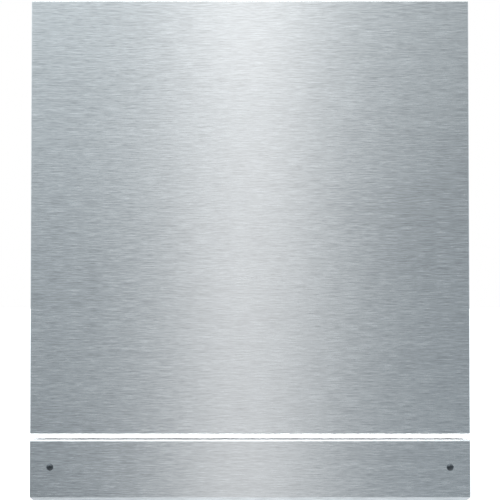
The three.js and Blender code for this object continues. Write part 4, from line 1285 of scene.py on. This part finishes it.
def make_filter():
    """Ribbed strainer beaker with a rim and a cross grip."""
    low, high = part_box("filter_cylinder")
    centre = (low + high) / 2
    r, foot, top = (high.x - low.x) / 2 / MM, low.z / MM, 162
    profile = [(0, foot), (r - 4.2, foot), (r - 3.6, foot + 1)]
    for i in range(9):
        z = foot + 4 + i * 5.4
        profile += [(r - 3.6, z), (r - 2.7, z + 0.5), (r - 2.7, z + 1.5), (r - 3.6, z + 2)]
    profile += [(r - 2, 156), (r, 158), (r, top - 1), (r - 1, top), (r - 4, top), (r - 5, top - 1.5)]
    profile += [(r - 6, 103), (0, 103)]
    bm = lathe(mm(profile), (centre.x, centre.y, 0), "z", 56)
    reach, half = (r - 3.2) * MM, 2 * MM
    for x, y in ((half, reach), (reach, half)):
        low_corner = (centre.x - x, centre.y - y, 0.154)
        add_box(bm, low_corner, (centre.x + x, centre.y + y, high.z), 1.0 * MM, 3)
    piece("filter_cylinder_moulded", bm, "filter_cylinder", angle_deg=40)


def make_softener_tank():
    """Moulded tank with rounded edges, stiffening ribs, a weld flange and the salt neck."""
    low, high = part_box("softener_tank")
    cap_low, cap_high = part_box("salt_cap")
    neck = middle_of("salt_cap")
    shoulder = 128 * MM
    rib, skin, round_edge = 1.4 * MM, 1.6 * MM, 9 * MM
    inset = Vector((skin, skin, skin))
    top_corner = Vector((high.x, high.y, shoulder))
    bm = bmesh.new()
    add_box(bm, low + inset, top_corner - inset, round_edge, 4)
    flange_z = (low.z + shoulder) / 2
    flange = (low.x, low.y, flange_z - skin), (high.x, high.y, flange_z + skin)
    add_box(bm, *flange, 1.2 * MM)
    wall = low.z + round_edge, shoulder - round_edge
    for y in evenly(low.y + 16 * MM, high.y - 16 * MM, 8):
        add_box(bm, (low.x, y - rib, wall[0]), (high.x, y + rib, wall[1]), 0.8 * MM)
        low_corner = (low.x + round_edge, y - rib, shoulder - 5 * MM)
        add_box(bm, low_corner, (high.x - round_edge, y + rib, shoulder), 0.8 * MM)
    for x in evenly(low.x + 16 * MM, high.x - 16 * MM, 6):
        add_box(bm, (x - rib, low.y, wall[0]), (x + rib, high.y, wall[1]), 0.8 * MM)
    r, base, top = (cap_high.x - cap_low.x) / 2 / MM + 1, shoulder / MM, high.z / MM
    profile = [(0, base - 3), (r + 4, base - 3), (r + 1, base + 2), (r - 2, top - 2), (r - 3, top)]
    profile += [(r - 7, top), (r - 8, base), (0, base)]
    add_lathe(bm, mm(profile), (neck.x, neck.y, 0), 48)
    piece("softener_tank_moulded", bm, "softener_tank", angle_deg=40)


def make_salt_cap():
    """Fluted screw cap with a grip bar."""
    low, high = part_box("salt_cap")
    centre = (low + high) / 2
    r, z = (high.x - low.x) / 2 / MM, low.z / MM
    flutes = 28
    profile = [(0, z), (r - 6, z), (r - 6, z + 4), (r - 0.6, z + 4), (r, z + 4.6), (r, z + 7.2)]
    profile += [(r - 1, z + 8), (r - 4, z + 8.6), (r - 4.6, z + 10), (0, z + 10)]
    bm = lathe(mm(profile), (centre.x, centre.y, 0), "z", flutes * 4)
    reshape_round(bm, centre, (r - 2) * MM, lambda a: 1 - 0.012 * (1 + math.cos(flutes * a)), (0, 1))
    grip = (r - 7) * MM
    low_corner = (centre.x - grip, centre.y - 3.6 * MM, (z + 8) * MM)
    add_box(bm, low_corner, (centre.x + grip, centre.y + 3.6 * MM, high.z), 1.6 * MM, 3)
    piece("salt_cap_fluted", bm, "salt_cap", angle_deg=40)


# ---- Studio ----------------------------------------------------------------------------
def make_floor():
    mesh = bpy.data.meshes.new("studio_floor")
    reach = 12.0
    corners = [(-reach, -reach, 0), (reach, -reach, 0), (reach, reach, 0), (-reach, reach, 0)]
    mesh.from_pydata(corners, [], [(0, 1, 2, 3)])
    floor = bpy.data.objects.new("studio_floor", mesh)
    scene.collection.objects.link(floor)
    material, _, shader = new_material("studio_floor", (0.9, 0.9, 0.9), 0.9)
    shader.inputs["Emission Color"].default_value = (1, 1, 1, 1)
    shader.inputs["Emission Strength"].default_value = 0.5
    mesh.materials.append(material)
    floor.visible_glossy = False


def area_light(name, place, aim, size, power, glossy=True):
    data = bpy.data.lights.new(name, "AREA")
    data.shape = "RECTANGLE"
    data.size, data.size_y = size
    data.energy = power
    light = bpy.data.objects.new(name, data)
    light.location = place
    light.rotation_euler = (Vector(aim) - Vector(place)).to_track_quat("-Z", "Y").to_euler()
    light.visible_camera = False
    light.visible_glossy = glossy
    scene.collection.objects.link(light)
    return light


def make_world():
    """White for the camera. For everything else a soft studio: a bright column in front of the
    machine, brighter above, that the brushed steel mirrors, and an even room round the other sides."""
    world = bpy.data.worlds.new("studio")
    scene.world = world
    world.use_nodes = True
    tree = world.node_tree
    direction = add_node(tree, "TexCoord").outputs["Generated"]
    x, y, z = add_node(tree, "SeparateXYZ", {0: direction}).outputs
    ray = add_node(tree, "LightPath").outputs

    def times(a, b):
        return math_node(tree, "MULTIPLY", a, b)

    def total(*values):
        found = values[0]
        for value in values[1:]:
            found = math_node(tree, "ADD", found, value)
        return found

    def bell(value, centre, width):
        offset = math_node(tree, "DIVIDE", math_node(tree, "SUBTRACT", value, centre), width)
        return math_node(tree, "EXPONENT", times(times(offset, offset), -0.5))

    def ramp(value, low, high, start, end):
        ends = {"From Min": low, "From Max": high, "To Min": start, "To Max": end}
        made = add_node(tree, "MapRange", {"Value": value, **ends}, interpolation_type="SMOOTHSTEP")
        return made.outputs[0]

    outward = math_node(tree, "ABSOLUTE", x)
    below = total(ramp(z, -0.3, -0.6, 0.0, 0.3), ramp(z, -0.7, -0.97, 0.0, 0.35))
    lean = times(ramp(times(x, outward), -0.048, 0.048, 2.0, -2.0), ramp(z, -0.06, 0.02, -0.109, 0.147))
    ahead = total(ramp(z, -0.01, 1.2, 0.325, 3.25), below)
    ahead = times(ahead, total(lean, ramp(outward, 0.35, 0.75, 1.0, 1.7)))
    room = total(ramp(z, -0.4, 0.6, 0.45, 1.0), below)
    room = times(room, ramp(outward, 0.35, 0.85, 1.0, 1.2))
    around = total(times(ahead, ramp(y, -0.5, 0.0, 1.0, 0.0)), times(room, ramp(y, -0.5, 0.0, 0.0, 1.0)))
    around = times(around, total(times(ray["Is Diffuse Ray"], -0.35), 1.0))
    column = times(bell(x, -0.003, 0.034), ramp(z, -0.15, 0.15, 1.0, 1.22))
    skirt = times(bell(x, -0.02, 0.13), 0.03)
    front = times(total(column, skirt), math_node(tree, "MULTIPLY", y, -1.0, clamp=True))
    red = total(ramp(z, -0.2, 0.4, 0.87, 0.95), ramp(z, -0.25, -0.5, 0.0, 0.08))
    blue = total(ramp(z, -0.2, 0.4, 1.1, 1.02), ramp(z, -0.25, -0.5, 0.0, -0.07))
    tint = add_node(tree, "CombineColor", {"Red": red, "Green": 1.0, "Blue": blue}).outputs[0]

    def background(color, strength):
        return add_node(tree, "Background", {"Color": color, "Strength": strength}).outputs[0]

    cool, warm = background(tint, around), background((0.92, 0.845, 0.805, 1), front)
    studio = add_node(tree, "AddShader", {0: cool, 1: warm}).outputs[0]
    white = background((1, 1, 1, 1), 1.0)
    mix = add_node(tree, "MixShader", {0: ray["Is Camera Ray"], 1: studio, 2: white})
    tree.links.new(mix.outputs[0], tree.nodes["World Output"].inputs["Surface"])


def make_lights():
    middle = Vector((0, 0, 0.35))
    area_light("key", (-1.6, -1.9, 2.3), middle, (1.2, 1.2), 16, glossy=False)
    area_light("fill", (2.0, -1.2, 1.3), middle, (1.4, 1.4), 6, glossy=False)
    area_light("back", (0.6, 2.2, 1.8), middle, (1.6, 1.2), 6, glossy=False)
    width = 2 * FRONT_HIGH.x
    slot_y = PLINTH_HIGH.y - 4 * MM
    aim = (0, slot_y + 10 * MM, FRONT_LOW.z - 12 * MM)
    area_light("slot", (0, slot_y, FRONT_LOW.z - 0.6 * MM), aim, (width, 4 * MM), 0.15, glossy=False)
    fold_y, fold_depth = (FACE_Y + PLINTH_HIGH.y) / 2, PLINTH_HIGH.y - FACE_Y - 2 * MM
    aim = (0, fold_y, FRONT_LOW.z - 10 * MM)
    glow = area_light("fold_glow", (0, fold_y, FRONT_LOW.z - 0.5 * MM), aim, (width, fold_depth), 0.07)
    glow.visible_diffuse = False


# ---- Assembly ----------------------------------------------------------------------------
make_door_front()
make_plinth()
make_plinth_screws()
make_lower_rack()
make_upper_rack()
make_wheels()
make_basket()
make_tub()
make_gasket()
make_door_liner()
make_side_panels()
make_insulation()
make_springs()
make_spray_arm("lower_spray_arm", 26 * MM, 15 * MM, 11 * MM, 22 * MM, 1)
make_spray_arm("upper_spray_arm", 24 * MM, 14 * MM, 9 * MM, 20 * MM, -1)
make_spray_arm("top_spray_arm", 20 * MM, 12 * MM, 8 * MM, 18 * MM, -1)
make_dispenser()
make_detergent_lid()
make_rinse_cap()
make_buttons()
make_control_marks()
make_feet()
make_pan_ribs()
make_water_fittings()
make_filter()
make_softener_tank()
make_salt_cap()
for node_name, node_obj in nodes.items():
    if not node_obj.hide_render:
        finish_node(node_name)
nodes["filter_plate"].material_slots[0].material = MATERIALS["perforated_steel"]
make_floor()
make_world()
make_lights()
